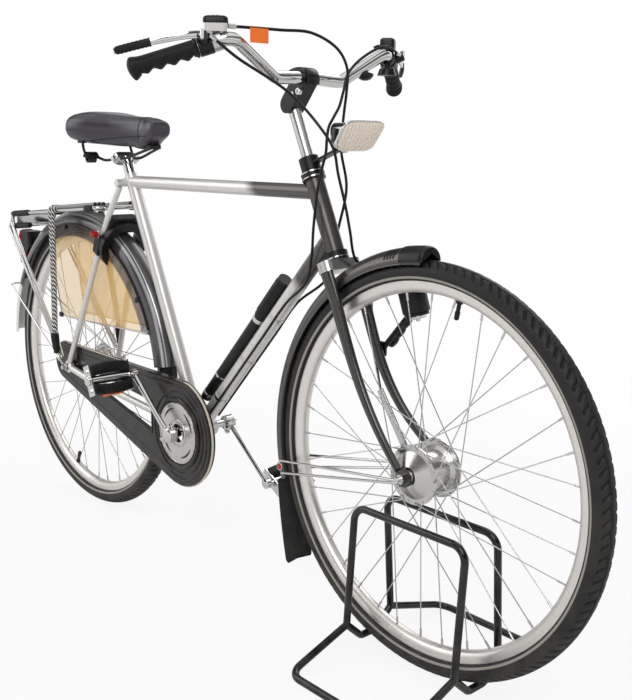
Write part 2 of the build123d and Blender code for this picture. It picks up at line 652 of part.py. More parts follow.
finish(carrier.part, "carrier_deck")

LEG_Y = CARRIER_HALF + CARRIER_R + LEG_R + SEAT_GAP
with BuildPart() as carrier_legs:
    for side_name, side in SIDES:
        tops = [deck(DECK_REAR[0] + back, side * LEG_Y, back - DECK_DROP) for back in (0.0, LEG_GAP)]
        for top, back in zip(tops, (0.0, LEG_GAP)):
            bar(top, at(LEG_FOOT[0] + back, side * EYE_Y, TYRE_R + LEG_FOOT[1]), LEG_R)
        bar(tops[0], tops[1], LEG_R)
finish(carrier_legs.part, "carrier_legs")

STRAP_T = 2.5
STRAP_W = 20.0
STRAP_X = -58.0
HOOK_Y = EYE_Y + CARRIER_R + 7.7
HOOK_Z = 424.0
slope = (deck(1, 0) - deck(0, 0)).normalized()
lift = Vector(-slope.Z, 0, slope.X)
with BuildPart() as straps:
    for side_name, side in SIDES:
        top = deck(STRAP_X, side * (CARRIER_HALF + CARRIER_R + SEAT_GAP + STRAP_T / 2), CARRIER_R + STRAP_T)
        low = at(-26, side * HOOK_Y, HOOK_Z)
        run = low - top
        with BuildSketch(Plane(origin=top, x_dir=(1, 0, 0), z_dir=run.normalized())):
            Rectangle(STRAP_W, STRAP_T)
        extrude(amount=run.length)
        over = CARRIER_R + SEAT_GAP + STRAP_T / 2
        block(deck(STRAP_X, side * (CARRIER_HALF - 3)) + lift * over, (STRAP_W, 2 * CARRIER_R + 12, STRAP_T),
              x_dir=slope, z_dir=lift)
        rear_end = deck(STRAP_X - STRAP_W / 2, side * 46) + lift * over
        fore_end = deck(DECK_FRONT[0], side * 46) + lift * over
        run = fore_end - rear_end
        with BuildSketch(Plane(origin=rear_end, x_dir=(0, 1, 0), z_dir=slope)):
            Rectangle(STRAP_W, STRAP_T)
        extrude(amount=run.length)
        bar(low, low + Vector(4, 0, -40), 9.0, 6.5)
        bar(low + Vector(4, 0, -40), at(0, side * (EYE_Y + 8), TYRE_R + AXLE_R + STAY_R + SEAT_GAP), STAY_R)
finish(straps.part, "carrier_straps")

# Ring lock
LOCK_DEEP = 18.0
LOCK_R = 58.0
LOCK_IN_R = 40.0
LOCK_AT = 336.0
with BuildPart() as ring_lock:
    with BuildSketch(section_plane(REAR_AXLE, STAY_ANGLE).offset(SEAT_STAY_R + SEAT_GAP)):
        with Locations((0, LOCK_AT)):
            Circle(LOCK_R)
        Polygon((8 - LOCK_R, LOCK_AT + 20), (LOCK_R - 8, LOCK_AT + 20), (26, LOCK_AT + 56), (-26, LOCK_AT + 56),
                align=None)
        with Locations((0, LOCK_AT)):
            Circle(LOCK_IN_R, mode=Mode.SUBTRACT)
        with Locations((0, LOCK_AT - LOCK_R)):
            Rectangle(2 * LOCK_IN_R - 10, 1.3 * LOCK_R, mode=Mode.SUBTRACT)
    extrude(amount=LOCK_DEEP)
finish(ring_lock.part, "ring_lock")

# Pump on the down tube
PUMP_R = 12.0
PUMP_GRIP_R = 14.0
PUMP_LOW = 74.0
PUMP_MID = 345.0
PUMP_TOP = 450.0
down_run = (head(DOWN_JOIN) - bb).normalized()
down_up = Vector(-down_run.Z, 0, down_run.X)
pump_line = bb + down_up * (DOWN_TUBE_R + PUMP_GRIP_R + 2)
with BuildPart() as pump:
    bar(pump_line + down_run * PUMP_LOW, pump_line + down_run * PUMP_MID, PUMP_R)
    bar(pump_line + down_run * PUMP_MID, pump_line + down_run * PUMP_TOP, PUMP_GRIP_R)
    for s in (PUMP_LOW + 10, PUMP_TOP - 15):
        bar(pump_line + down_run * s, bb + down_run * s + down_up * (DOWN_TUBE_R - 2), 4.0)
    bar(bb, head(DOWN_JOIN), DOWN_TUBE_R, mode=Mode.SUBTRACT)
finish(pump.part, "frame_pump")

# Fork and steering column
CROWN_TOP = HEAD_LOW - CUP_LOW_T - SEAT_GAP
CROWN_LOW = CROWN_TOP - CROWN_T
NUT_LOW = HEAD_HIGH + CUP_HIGH_T + SEAT_GAP
NUT_T = 28.0
NUT_TOP = NUT_LOW + NUT_T
NUT_R = 18.0
FRONT_DROP_Y = FRONT_OLD / 2 + DROP_T / 2
with BuildPart() as fork_crown:
    with BuildSketch(head_plane(CROWN_LOW)):
        RectangleRounded(CROWN_D, CROWN_W, 15)
    extrude(amount=CROWN_T)
    bar(head(CROWN_LOW), head(NUT_TOP), STEERER_R)
    bar(at(WHEELBASE, -CROWN_W, TYRE_R), at(WHEELBASE, CROWN_W, TYRE_R), FRONT_GUARD_R + SEAT_GAP,
        mode=Mode.SUBTRACT)
finish(fork_crown.part, "fork_crown")

FORK_KNEE = 95.0
FORK_BEND = 380.0
TIP_GAP = 1.4
with BuildPart() as fork_blades:
    for side_name, side in SIDES:
        knee = head(FORK_KNEE, 0, side * BLADE_Y)
        axle_end = at(WHEELBASE, side * FRONT_DROP_Y, TYRE_R)
        foot = axle_end + Vector(knee.X - axle_end.X, 0, knee.Z - axle_end.Z).normalized() * (DROP_R + TIP_GAP)
        with BuildLine() as path:
            FilletPolyline(head(CROWN_LOW - SEAT_GAP, 0, side * BLADE_Y), knee, foot, radius=FORK_BEND)
        wire = path.wire()
        for share in (0.0, 0.3, 0.55, 0.8, 1.0):
            across = (wire % share).cross(Vector(0, 1, 0))
            with BuildSketch(Plane(origin=wire @ share, x_dir=across, z_dir=wire % share)):
                Ellipse(BLADE_DEEP / 2 + share * (BLADE_TIP_R - BLADE_DEEP / 2),
                        BLADE_WIDE / 2 + share * (BLADE_TIP_R - BLADE_WIDE / 2))
        loft()
        with BuildSketch(Plane(origin=at(WHEELBASE, side * FRONT_OLD / 2, TYRE_R), x_dir=(1, 0, 0), z_dir=(0, side, 0))):
            Circle(DROP_R)
        extrude(amount=DROP_T)
        bar(at(WHEELBASE, 0, TYRE_R), at(WHEELBASE, side * FRONT_OLD, TYRE_R), AXLE_R + RUN_FIT, mode=Mode.SUBTRACT)
finish(fork_blades.part, "fork_blades")

QUILL_LEN = 97.0
STEM_TOP = NUT_TOP + QUILL_LEN
CLAMP_T = 683.0
CLAMP_AHEAD = 51.0
CLAMP_R = 16.0
BAR_LOW = (6.0, 76.0, -4.0)
BAR_HIGH = (22.0, 176.0, 53.0)
BAR_END = (-81.0, 310.0, 0.0)
BAR_BEND = 28.0
clamp_at = head(CLAMP_T, CLAMP_AHEAD)


def hand(ahead, y, up):
    """Point of the handlebar group, counted from the middle of its clamp."""
    return clamp_at + Vector(ahead, y, up)


with BuildPart() as quill:
    bar(head(NUT_TOP), head(STEM_TOP), QUILL_R)
finish(quill.part, "stem_quill")

HINGE_R = 16.0
STEM_HALF = 16.0
hinge = head(STEM_TOP + 6)
with BuildPart() as stem:
    with BuildSketch(side_plane(0)):
        with Locations((hinge.X + ORIGIN_X, hinge.Z)):
            Circle(HINGE_R)
        with Locations((clamp_at.X + ORIGIN_X, clamp_at.Z)):
            Circle(CLAMP_R)
        make_hull()
    extrude(amount=STEM_HALF, both=True)
    for side_name, side in SIDES:
        bar(clamp_at, hand(BAR_LOW[0], side * BAR_LOW[1], BAR_LOW[2]), BAR_R, mode=Mode.SUBTRACT)
    bar(head(NUT_TOP), head(STEM_TOP), QUILL_R, mode=Mode.SUBTRACT)
finish(stem.part, "stem_head")

GRIP_CAP = 6.0
ends = {}
for side_name, side in SIDES:
    high = hand(BAR_HIGH[0], side * BAR_HIGH[1], BAR_HIGH[2])
    tip = hand(BAR_END[0], side * BAR_END[1], BAR_END[2])
    ends[side] = (high, tip, (tip - high).normalized())
with BuildPart() as handlebar:
    for side_name, side in SIDES:
        high, tip, run = ends[side]
        bent((clamp_at, hand(BAR_LOW[0], side * BAR_LOW[1], BAR_LOW[2]), high, tip - run * GRIP_CAP), BAR_BEND, BAR_R)
finish(handlebar.part, "handlebar")

GROOVES = 3
GROOVE = 24.0
BULB = 22.0
with BuildPart() as grips:
    for side_name, side in SIDES:
        high, tip, run = ends[side]
        start = tip - run * GRIP_LEN
        with BuildSketch(Plane(origin=start, x_dir=run, z_dir=run.cross(Vector(0, 0, 1)).normalized())):
            with BuildLine():
                Polyline((GRIP_LEN - GRIP_CAP, 0), (GRIP_LEN - GRIP_CAP, BAR_R), (0, BAR_R), (0, GRIP_R))
                for n in range(GROOVES):
                    ThreePointArc((n * GROOVE, GRIP_R), ((n + 0.5) * GROOVE, GRIP_R - 2), ((n + 1) * GROOVE, GRIP_R))
                Line((GROOVES * GROOVE, GRIP_R), (GRIP_LEN - BULB, GRIP_R))
                ThreePointArc((GRIP_LEN - BULB, GRIP_R), (GRIP_LEN - BULB / 2, GRIP_R + 4), (GRIP_LEN, GRIP_R - 3))
                Polyline((GRIP_LEN, GRIP_R - 3), (GRIP_LEN, 0), (GRIP_LEN - GRIP_CAP, 0))
            make_face()
        revolve(axis=Axis(start, run))
finish(grips.part, "grips")

LEVER_TIP = (-84.0, 332.0, 31.0)
LEVER_OUT = 30.0
RING_LEN = 14.0


def lever_side(run):
    """Direction square to the grip in which its brake lever stands, forward and up."""
    ahead = Vector(1, 0, 0.6)
    return (ahead - run * ahead.dot(run)).normalized()


BRACKET_LEN = 24.0
BRACKET_R = 9.0
with BuildPart() as brackets:
    for side_name, side in SIDES:
        high, tip, run = ends[side]
        near = tip - run * (GRIP_LEN + SEAT_GAP + BRACKET_LEN)
        bar(near, near + run * BRACKET_LEN, BAR_R + 5)
        pivot = near + run * 12 + lever_side(run) * LEVER_OUT
        bar(near + run * 12, pivot, BRACKET_R)
        bar(high, tip, BAR_R, mode=Mode.SUBTRACT)
finish(brackets.part, "brake_brackets")
with BuildPart() as levers:
    for side_name, side in SIDES:
        high, tip, run = ends[side]
        near = tip - run * (GRIP_LEN + SEAT_GAP + BRACKET_LEN)
        pivot = near + run * 12 + lever_side(run) * LEVER_OUT
        blade = hand(LEVER_TIP[0], side * LEVER_TIP[1], LEVER_TIP[2])
        bar(pivot + (blade - pivot).normalized() * (BRACKET_R + SEAT_GAP), blade, 5.0, 4.0)
finish(levers.part, "brake_levers")

POD_UP = 14.0
POD_SIZE = (38.0, 30.0, 20.0)
with BuildPart() as shifter:
    high, tip, run = ends[-1]
    near = tip - run * (GRIP_LEN + BRACKET_LEN + RING_LEN + 2 * SEAT_GAP)
    bar(near, near + run * RING_LEN, BAR_R + 4)
    pod = near + run * (RING_LEN / 2) + Vector(-4, 0, BAR_R + POD_UP)
    block(pod, POD_SIZE, x_dir=(run.X, run.Y, 0), round_off=6)
    bar(near + run * (RING_LEN / 2), pod, RING_LEN / 2)
    bar(high, tip, BAR_R, mode=Mode.SUBTRACT)
finish(shifter.part, "gear_shifter")

BELL_BOX = (26.0, 20.0, 16.0)
BELL_TOP_R = 14.0
BELL_R = 18.0
with BuildPart() as bell:
    high, tip, run = ends[1]
    near = tip - run * (GRIP_LEN + BRACKET_LEN + RING_LEN + 2 * SEAT_GAP)
    bar(near, near + run * RING_LEN, BAR_R + 3)
    block(near + run * (RING_LEN / 2) + Vector(0, 0, BAR_R + 9), BELL_BOX, x_dir=(run.X, run.Y, 0), round_off=4)
    bar(near + run * (RING_LEN / 2), near - Vector(0, 0, BAR_R + 12), RING_LEN / 2)
    bar(near - Vector(0, 0, BAR_R + 10), near - Vector(0, 0, BAR_R + 22), BELL_TOP_R, BELL_R)
    bar(high, tip, BAR_R, mode=Mode.SUBTRACT)
finish(bell.part, "bell")

# Headlamp
LAMP_OUT = 133.0
LAMP_UP = -19.0
LAMP_LEAN = 34.5
LAMP_LEN = 50.0
LENS_T = 8.0
LAMP_W = 88.0
LAMP_H = 52.0
LAMP_ROOT = 42.0
ARM_W = 18.0
lens_at = head(NUT_TOP + LAMP_UP, LAMP_OUT)
lean = radians(LAMP_LEAN)
lens_plane = Plane(origin=lens_at, x_dir=(0, 1, 0), z_dir=(cos(lean), 0, -sin(lean)))
root_at = lens_at + Vector(-LAMP_LEN, 0, 2)
with BuildPart() as lamp_bracket:
    with BuildSketch(head_plane(NUT_LOW)):
        Circle(NUT_R)
        Circle(STEERER_R, mode=Mode.SUBTRACT)
    extrude(amount=NUT_TOP - NUT_LOW)
    foot = head((NUT_LOW + NUT_TOP) / 2, NUT_R - 2)
    knee = root_at + Vector(-2 - SEAT_GAP, 0, -LAMP_ROOT / 2 - 4)
    for a, b in ((foot, knee), (knee, knee + Vector(0, 0, LAMP_ROOT / 2 + 14))):
        block((a + b) * 0.5, (4, ARM_W, (b - a).length + 4), x_dir=(b - a).cross(Vector(0, 1, 0)), z_dir=b - a)
finish(lamp_bracket.part, "headlamp_bracket")
with BuildPart() as lamp:
    with BuildSketch(Plane(origin=root_at, x_dir=(0, 1, 0), z_dir=(1, 0, 0))):
        RectangleRounded(LAMP_ROOT, LAMP_ROOT, 14)
    with BuildSketch(lens_plane):
        RectangleRounded(LAMP_W, LAMP_H, 8)
    loft()
finish(lamp.part, "headlamp")
with BuildPart() as lens:
    for step, size in ((SEAT_GAP, 1.0), (LENS_T, 0.93)):
        with BuildSketch(lens_plane.offset(step)):
            RectangleRounded((LAMP_W - 3) * size, (LAMP_H - 3) * size, 7)
    loft()
finish(lens.part, "headlamp_lens")

# Front guard and stays
GUARD_TIP_DEG = 91.0
GUARD_LOW_DEG = 196.0
with BuildPart() as front_guard:
    channel(FRONT_AXLE, FRONT_GUARD_R, FRONT_GUARD_W, FRONT_GUARD_DEPTH, GUARD_TIP_DEG, GUARD_LOW_DEG)
finish(front_guard.part, "front_mudguard")

FLAP_T = 3.0
FLAP_W = 66.0
FLAP_LOW_Z = 90.0
flap_top = polar(FRONT_AXLE, FRONT_GUARD_R - GUARD_T / 2, GUARD_LOW_DEG + degrees(SEAT_GAP / FRONT_GUARD_R))
flap_low = at(WHEELBASE - TYRE_R + 31, 0, FLAP_LOW_Z)
with BuildPart() as flap:
    run = flap_low - flap_top
    plane = Plane(origin=flap_top, x_dir=(0, 1, 0), z_dir=run.normalized())
    for share, width in ((0.0, 44.0), (1.0, FLAP_W)):
        with BuildSketch(plane.offset(share * run.length)):
            RectangleRounded(width, FLAP_T, 1.2)
    loft()
finish(flap.part, "front_mud_flap")

FRONT_EYE_Y = FRONT_OLD / 2 + DROP_T + STAY_R + SEAT_GAP
with BuildPart() as front_stays:
    for side_name, side in SIDES:
        for back, drop, deg in ((12, 6, 190.0), (10, 10, 194.0)):
            far = polar(FRONT_AXLE, FRONT_GUARD_R - FRONT_GUARD_DEPTH + 4, deg,
                        side * (FRONT_GUARD_W / 2 + STAY_R + SEAT_GAP))
            bar(at(WHEELBASE - back, side * FRONT_EYE_Y, TYRE_R - drop), far, STAY_R)
finish(front_stays.part, "front_guard_stays")

PLATE_R = 44.0
ARM_T = 4.0
BRAKE_ARM_W = 14.0
BRAKE_ELBOW = 70.0
with BuildPart() as brake_plate:
    inner_y = HUB_FLANGE_Y + FLANGE_T / 2 + 1.5
    outer_y = FRONT_DROP_Y - BLADE_TIP_R - 4.0
    bar(at(WHEELBASE, inner_y, TYRE_R), at(WHEELBASE, outer_y, TYRE_R), PLATE_R, PLATE_R - 8)
    arm_y = outer_y - ARM_T / 2
    elbow = at(WHEELBASE - BRAKE_ELBOW, arm_y, TYRE_R - 6)
    end = head(FORK_KNEE + 30, -BLADE_DEEP / 2 - BRAKE_ARM_W, arm_y)
    for a, b in ((at(WHEELBASE, arm_y, TYRE_R), elbow), (elbow, end)):
        size = (BRAKE_ARM_W, ARM_T, (b - a).length + BRAKE_ARM_W / 2)
        block((a + b) * 0.5, size, x_dir=(b - a).cross(Vector(0, 1, 0)), z_dir=b - a)
    bar(at(WHEELBASE, 0, TYRE_R), at(WHEELBASE, FRONT_OLD, TYRE_R), AXLE_R + RUN_FIT, mode=Mode.SUBTRACT)
finish(brake_plate.part, "front_brake_plate")

DYNAMO_R = 20.0
DYNAMO_DEG = 106.5
DYNAMO_Y = 50.0
DYNAMO_IN = 34.0
DYNAMO_LEN = 60.0
NECK_LEN = 10.0
ROLLER_LEN = 16.0
PAD_AT = 0.4
PAD_SIZE = (22.0, 26.0, 4.0)
ROLLER_R = 9.0
with BuildPart() as dynamo:
    foot = polar(FRONT_AXLE, TYRE_R - DYNAMO_IN - DYNAMO_LEN, DYNAMO_DEG, DYNAMO_Y)
    top = polar(FRONT_AXLE, TYRE_R - DYNAMO_IN, DYNAMO_DEG, DYNAMO_Y - 4)
    axis = (top - foot).normalized()
    bar(foot, top, DYNAMO_R)
    bar(top, top + axis * NECK_LEN, DYNAMO_R * 0.6)
    bar(top + axis * NECK_LEN, top + axis * (NECK_LEN + ROLLER_LEN), ROLLER_R)
    half = BLADE_WIDE / 2 + PAD_AT * (BLADE_TIP_R - BLADE_WIDE / 2)
    pad = wire @ PAD_AT + Vector(0, half + SEAT_GAP + PAD_SIZE[2] / 2 + 0.5, 0)
    block(pad, PAD_SIZE, x_dir=(1, 0, 0), z_dir=(0, 1, 0), round_off=4)
    bar(foot + axis * 16, pad + Vector(0, PAD_SIZE[2], 0), 5.0)
finish(dynamo.part, "dynamo")

# Cables
CABLE_R = 2.5
FRONT_CABLES = (
    # points on the way from the handlebar clamp, each ahead, left, up
    ((16.5, -218.5, 52.5), (31, -180, 22), (59, -90, -32), (103, -58, -89), (130, -54, -123), (127, -40, -163),
     (131, -6, -296)),
    ((14.4, -181.2, 69), (49, -110, 66), (53, -50, 65), (66, 22, 24), (69, 36, -30), (58, 26, -135)),
    ((15.8, 219.5, 52.1), (44, 150, 62), (60, 70, 16), (76, 46, -55), (74, 40, -131)),
)
FRAME_CABLE = (
    # height along the steering axis, ahead of it, out to the side
    (483.0, 37.0, 34.0),
    (423.0, -7.0, 30.0),
    (390.0, -30.0, 26.0),
    (350.0, -64.0, 24.0),
)
CABLE_BEND = 16.0
CLIP_A = radians(35.0)
CABLE_LOW = 60.0
CABLE_HIGH = 430.0
with BuildPart() as front_cables:
    for points in FRONT_CABLES:
        bent([hand(*point) for point in points], CABLE_BEND, CABLE_R)
finish(front_cables.part, "front_cables")

with BuildPart() as frame_cables:
    for side_name, side in SIDES:
        clip = (Vector(0, side * cos(CLIP_A), 0) - down_up * sin(CLIP_A)) * (DOWN_TUBE_R + CABLE_R + SEAT_GAP)
        upper = [head(t, ahead, side * out) for t, ahead, out in FRAME_CABLE]
        lower = [bb + down_run * s + clip for s in (CABLE_HIGH, CABLE_LOW)]
        bent(upper + lower, CABLE_BEND, CABLE_R)
finish(frame_cables.part, "frame_cables")

# Floor stand
valley = TYRE_R - sqrt((TYRE_R + STAND_GAP + STAND_R) ** 2 - STAND_HALF_X ** 2)
with BuildPart() as stand:
    for side_name, side in SIDES:
        fore = at(WHEELBASE + STAND_HALF_X, side * STAND_JOINT_Y, STAND_JOINT_Z)
        back = at(WHEELBASE - STAND_HALF_X, side * STAND_JOINT_Y, STAND_JOINT_Z)
        bent((back, at(WHEELBASE - STAND_HALF_X, side * STAND_TOP_Y, STAND_TOP_Z),
              at(WHEELBASE + STAND_HALF_X, side * STAND_TOP_Y, STAND_TOP_Z), fore), STAND_BEND, STAND_R)
        bent((back, at(WHEELBASE - STAND_HALF_X + 8, side * STAND_RAIL_Y, STAND_R),
              at(WHEELBASE + STAND_HALF_X + 8, side * STAND_RAIL_Y, STAND_R), fore), STAND_BEND, STAND_R)
    for way in (-1, 1):
        x = WHEELBASE + way * STAND_HALF_X
        bent((at(x, -STAND_JOINT_Y, STAND_JOINT_Z), at(x, -TYRE_W / 2, valley), at(x, TYRE_W / 2, valley),
              at(x, STAND_JOINT_Y, STAND_JOINT_Z)), 14.0, STAND_R)
finish(stand.part, "floor_stand")
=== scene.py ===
"""Looks of a city roadster with a chain case, held by its front wheel in a floor stand.

Lengths are in metres in the shared frame, X forward, Y to the rider's left and Z up from the floor. Sizes of the
bicycle are in millimetres from the floor under the rear axle, as in the CAD, and place() brings them here. Each
new surface is a function of two parameters, or a profile carried along a path, worked out as whole arrays.
"""
import json
import logging
from dataclasses import dataclass
from enum import Enum
from math import cos, pi, radians, sin

import bmesh
import bpy
import numpy as np
from mathutils import Matrix
from mathutils.bvhtree import BVHTree

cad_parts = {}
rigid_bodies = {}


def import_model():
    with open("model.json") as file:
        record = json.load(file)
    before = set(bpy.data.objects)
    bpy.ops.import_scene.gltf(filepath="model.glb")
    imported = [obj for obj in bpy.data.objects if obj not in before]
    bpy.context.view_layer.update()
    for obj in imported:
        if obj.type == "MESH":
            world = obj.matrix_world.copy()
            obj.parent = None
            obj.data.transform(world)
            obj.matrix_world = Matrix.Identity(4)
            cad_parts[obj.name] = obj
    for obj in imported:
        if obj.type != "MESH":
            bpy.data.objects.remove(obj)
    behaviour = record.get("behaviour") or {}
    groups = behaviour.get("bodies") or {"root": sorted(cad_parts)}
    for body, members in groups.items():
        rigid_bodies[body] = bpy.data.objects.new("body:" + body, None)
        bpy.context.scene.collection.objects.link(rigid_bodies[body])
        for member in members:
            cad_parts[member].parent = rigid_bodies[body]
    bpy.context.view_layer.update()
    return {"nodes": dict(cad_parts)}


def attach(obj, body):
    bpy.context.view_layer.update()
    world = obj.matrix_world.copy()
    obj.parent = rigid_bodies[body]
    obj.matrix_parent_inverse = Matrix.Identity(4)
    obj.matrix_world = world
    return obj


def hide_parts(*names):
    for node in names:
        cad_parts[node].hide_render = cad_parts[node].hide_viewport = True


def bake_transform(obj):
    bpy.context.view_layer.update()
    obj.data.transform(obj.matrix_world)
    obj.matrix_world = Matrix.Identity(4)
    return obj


Array = np.ndarray
Number = float | Array
Pair = tuple[float, float]
Triple = tuple[float, float, float]
Triples = tuple[Triple, ...]
Rows = tuple[Pair, ...] | list[Pair] | Array
Material = bpy.types.Material
Piece = bpy.types.Object
Colour = tuple[float, float, float, float]
Socket = bpy.types.NodeSocket
log = logging.getLogger("roadster")

MM = 0.001
ORIGIN_X = 524.5
AXLE_Z = 350.0
WHEELBASE = 1087.0
BB_X = 445.0
BB_Z = 281.0
HEAD_ANGLE = radians(65.5)
TRAIL_X = 68.0
SIDES = (-1.0, 1.0)
AHEAD, LEFT, UP = np.eye(3)


def place(x: Number, y: Number, z: Number) -> Array:
    """Bring the CAD's own coordinates into the shared frame.

    Args:
        x: Forward of the rear axle, in mm.
        y: To the left of the middle, in mm.
        z: Above the floor, in mm.

    Returns:
        Points in metres, with the coordinates on the last axis.
    """
    parts = np.broadcast_arrays(np.asarray(x, float) - ORIGIN_X, np.asarray(y, float), np.asarray(z, float))
    return np.stack(parts, axis=-1) * MM


def head(t: Number, forward: Number = 0.0, y: Number = 0.0) -> Array:
    """Point t mm up the steering axis from axle height, and forward mm square to it.

    Args:
        t: Distance along the axis.
        forward: Distance ahead of the axis.
        y: Distance to the left.

    Returns:
        Points in metres.
    """
    t, forward = np.asarray(t, float), np.asarray(forward, float)
    x = WHEELBASE - TRAIL_X - t * cos(HEAD_ANGLE) + forward * sin(HEAD_ANGLE)
    return place(x, y, AXLE_Z + t * sin(HEAD_ANGLE) + forward * cos(HEAD_ANGLE))


def shade(red: int, green: int, blue: int) -> Colour:
    """Linear colour for a screen colour of three numbers from 0 to 255.

    Args:
        red: Red share.
        green: Green share.
        blue: Blue share.

    Returns:
        The colour with full alpha.
    """
    c = np.array((red, green, blue)) / 255.0
    linear = np.where(c <= 0.04045, c / 12.92, ((c + 0.055) / 1.055) ** 2.4)
    return (float(linear[0]), float(linear[1]), float(linear[2]), 1.0)


# Curves and surfaces


def smooth(points: list | Array, count: int) -> Array:
    """Curve through points: cubic pieces, timed by the root of each chord, with slopes from the neighbours.

    Args:
        points: Points to pass through.
        count: Number of points wanted.

    Returns:
        The points along the curve.
    """
    p = np.asarray(points, float)
    clock = np.concatenate(((0.0,), np.cumsum(np.sqrt(np.linalg.norm(np.diff(p, axis=0), axis=1)))))
    slope = np.gradient(p, clock, axis=0)
    s = np.linspace(0.0, clock[-1], count)
    k = np.clip(np.searchsorted(clock, s, side="right") - 1, 0, len(p) - 2)
    step = np.diff(clock)[k, None]
    t = (s - clock[k])[:, None] / step
    return ((2 * t**3 - 3 * t**2 + 1) * p[k] + (t**3 - 2 * t**2 + t) * step * slope[k]
            + (3 * t**2 - 2 * t**3) * p[k + 1] + (t**3 - t**2) * step * slope[k + 1])


def frames(path: Array, closed: bool = False) -> tuple[Array, Array]:
    """Two directions square to a path: across the plane that the path lies nearest to, and in that plane.

    Args:
        path: Points along the path.
        closed: Whether the last point joins the first.

    Returns:
        The out-of-plane and in-plane unit directions at each point.
    """
    looped = np.concatenate((path[-1:], path, path[:1])) if closed else path
    tangent = np.gradient(looped, axis=0)
    tangent = tangent[1:-1] if closed else tangent
    tangent /= np.linalg.norm(tangent, axis=1, keepdims=True)
    least = np.linalg.eigh(tangent.T @ tangent)[1][:, 0]
    inward = np.cross(tangent, least)
    inward /= np.linalg.norm(inward, axis=1, keepdims=True)
    return np.cross(inward, tangent), inward


def carry(path: Array, profile: Array, scale: Number = 1.0, closed: bool = False) -> Array:
    """Profile carried along a path: point = path + profile x times across + profile y times in-plane, times scale.

    Args:
        path: Points along the path.
        profile: Outline as rows of two offsets.
        scale: Size of the profile at each path point.
        closed: Whether the path is a loop.

    Returns:
        Grid of points, one row for each path point.
    """
    across, inward = frames(path, closed)
    size = np.broadcast_to(np.asarray(scale, float), (len(path),))[:, None, None]
    flat = profile[None, :, 0, None] * across[:, None] + profile[None, :, 1, None] * inward[:, None]
    return path[:, None] + size * flat


def ring(sides: int) -> Array:
    """Unit circle outline with that many points."""
    a = np.linspace(0.0, 2 * pi, sides, endpoint=False)
    return np.stack((np.cos(a), np.sin(a)), axis=1)


def tube(path: Array, radius: Number, sides: int, closed: bool = False) -> Array:
    """Round tube along a path, of one radius in mm or of one for each point."""
    return carry(path, ring(sides), MM * np.asarray(radius, float), closed)


def travel(path: Array) -> Array:
    """Distance from the start of a path to each of its points."""
    return np.concatenate(((0.0,), np.cumsum(np.linalg.norm(np.diff(path, axis=0), axis=1))))


def cells(grid: Array) -> Array:
    """The four corners of each cell of a grid, in order round the cell."""
    return np.stack((grid[:-1, :-1], grid[1:, :-1], grid[1:, 1:], grid[:-1, 1:]), axis=2)


def slab(width: float, thick: float, corner: float = 0.3, sides: int = 16) -> Array:
    """Outline of a flat strap: a circle with each half pushed out to the corners of a width by thickness oblong.

    Args:
        width: Size across.
        thick: Size square to it.
        corner: Corner radius as a share of the thickness.
        sides: Number of points.

    Returns:
        The outline as rows of two offsets.
    """
    c = ring(sides)
    r = corner * thick
    return np.stack((np.sign(c[:, 0]) * (width / 2 - r) + c[:, 0] * r,
                     np.sign(c[:, 1]) * (thick / 2 - r) + c[:, 1] * r), axis=1)


def turn(profile: Rows, centre: Array, axis: Array, sides: int) -> Array:
    """Profile turned about an axis: point = centre + height along the axis + radius round it.

    Args:
        profile: Rows of height and radius, in mm.
        centre: Foot of the axis, in metres.
        axis: Direction of the axis.
        sides: Number of points round it.

    Returns:
        Grid of points, one row for each profile point.
    """
    rows = MM * np.asarray(profile, float)
    axis = unit(np.asarray(axis, float))
    first = unit(np.cross(axis, UP if abs(axis[2]) < 0.9 else AHEAD))
    c = ring(sides)
    round_it = c[:, :1] * first + c[:, 1:] * np.cross(axis, first)
    return centre + rows[:, :1, None] * axis + rows[:, 1, None, None] * round_it[None]


def vec(x: float, y: float, z: float) -> Array:
    """Direction or offset as an array."""
    return np.array((x, y, z), float)


def unit(v: Array) -> Array:
    """Vector of length one in the same direction."""
    return v / np.linalg.norm(v)


def arc(centre: Pair, radius: float, first: float, last: float, count: int, y: float = 0.0) -> Array:
    """Arc in an upright plane: centre plus radius at angles from first to last, counted from forward to up.

    Args:
        centre: Forward and up place of the centre, in mm.
        radius: Radius in mm.
        first: Starting angle in degrees.
        last: Ending angle in degrees.
        count: Number of points.
        y: Place of the plane.

    Returns:
        Points in metres.
    """
    a = np.radians(np.linspace(first, last, count))
    return place(centre[0] + radius * np.cos(a), y, centre[1] + radius * np.sin(a))


def ribbon(path: Array, across: Array, width: Number, thick: Number, corner: float = 0.3, sides: int = 16) -> Array:
    """Flat bar along a path: an oblong whose width lies along a given direction and whose thickness is square to it.

    Args:
        path: Points along the bar, in metres.
        across: Direction of the width, one for all or one for each point.
        width: Width in mm.
        thick: Thickness in mm.
        corner: Corner radius as a share of the thickness.
        sides: Number of points round the outline.

    Returns:
        Grid of points.
    """
    tangent = np.gradient(path, axis=0)
    tangent /= np.linalg.norm(tangent, axis=1, keepdims=True)
    across = np.broadcast_to(across, path.shape)
    wide = across - tangent * np.sum(across * tangent, 1)[:, None]
    wide = wide / np.linalg.norm(wide, axis=1, keepdims=True)
    normal = np.cross(tangent, wide)
    c = ring(sides)
    w, t = (np.broadcast_to(np.asarray(size, float), (len(path),))[:, None] for size in (width, thick))
    r = corner * t
    a, b = (np.sign(np.round(c[:, k], 6)) * (size / 2 - r) + c[:, k] * r for k, size in enumerate((w, t)))
    return path[:, None] + MM * (a[..., None] * wide[:, None] + b[..., None] * normal[:, None])


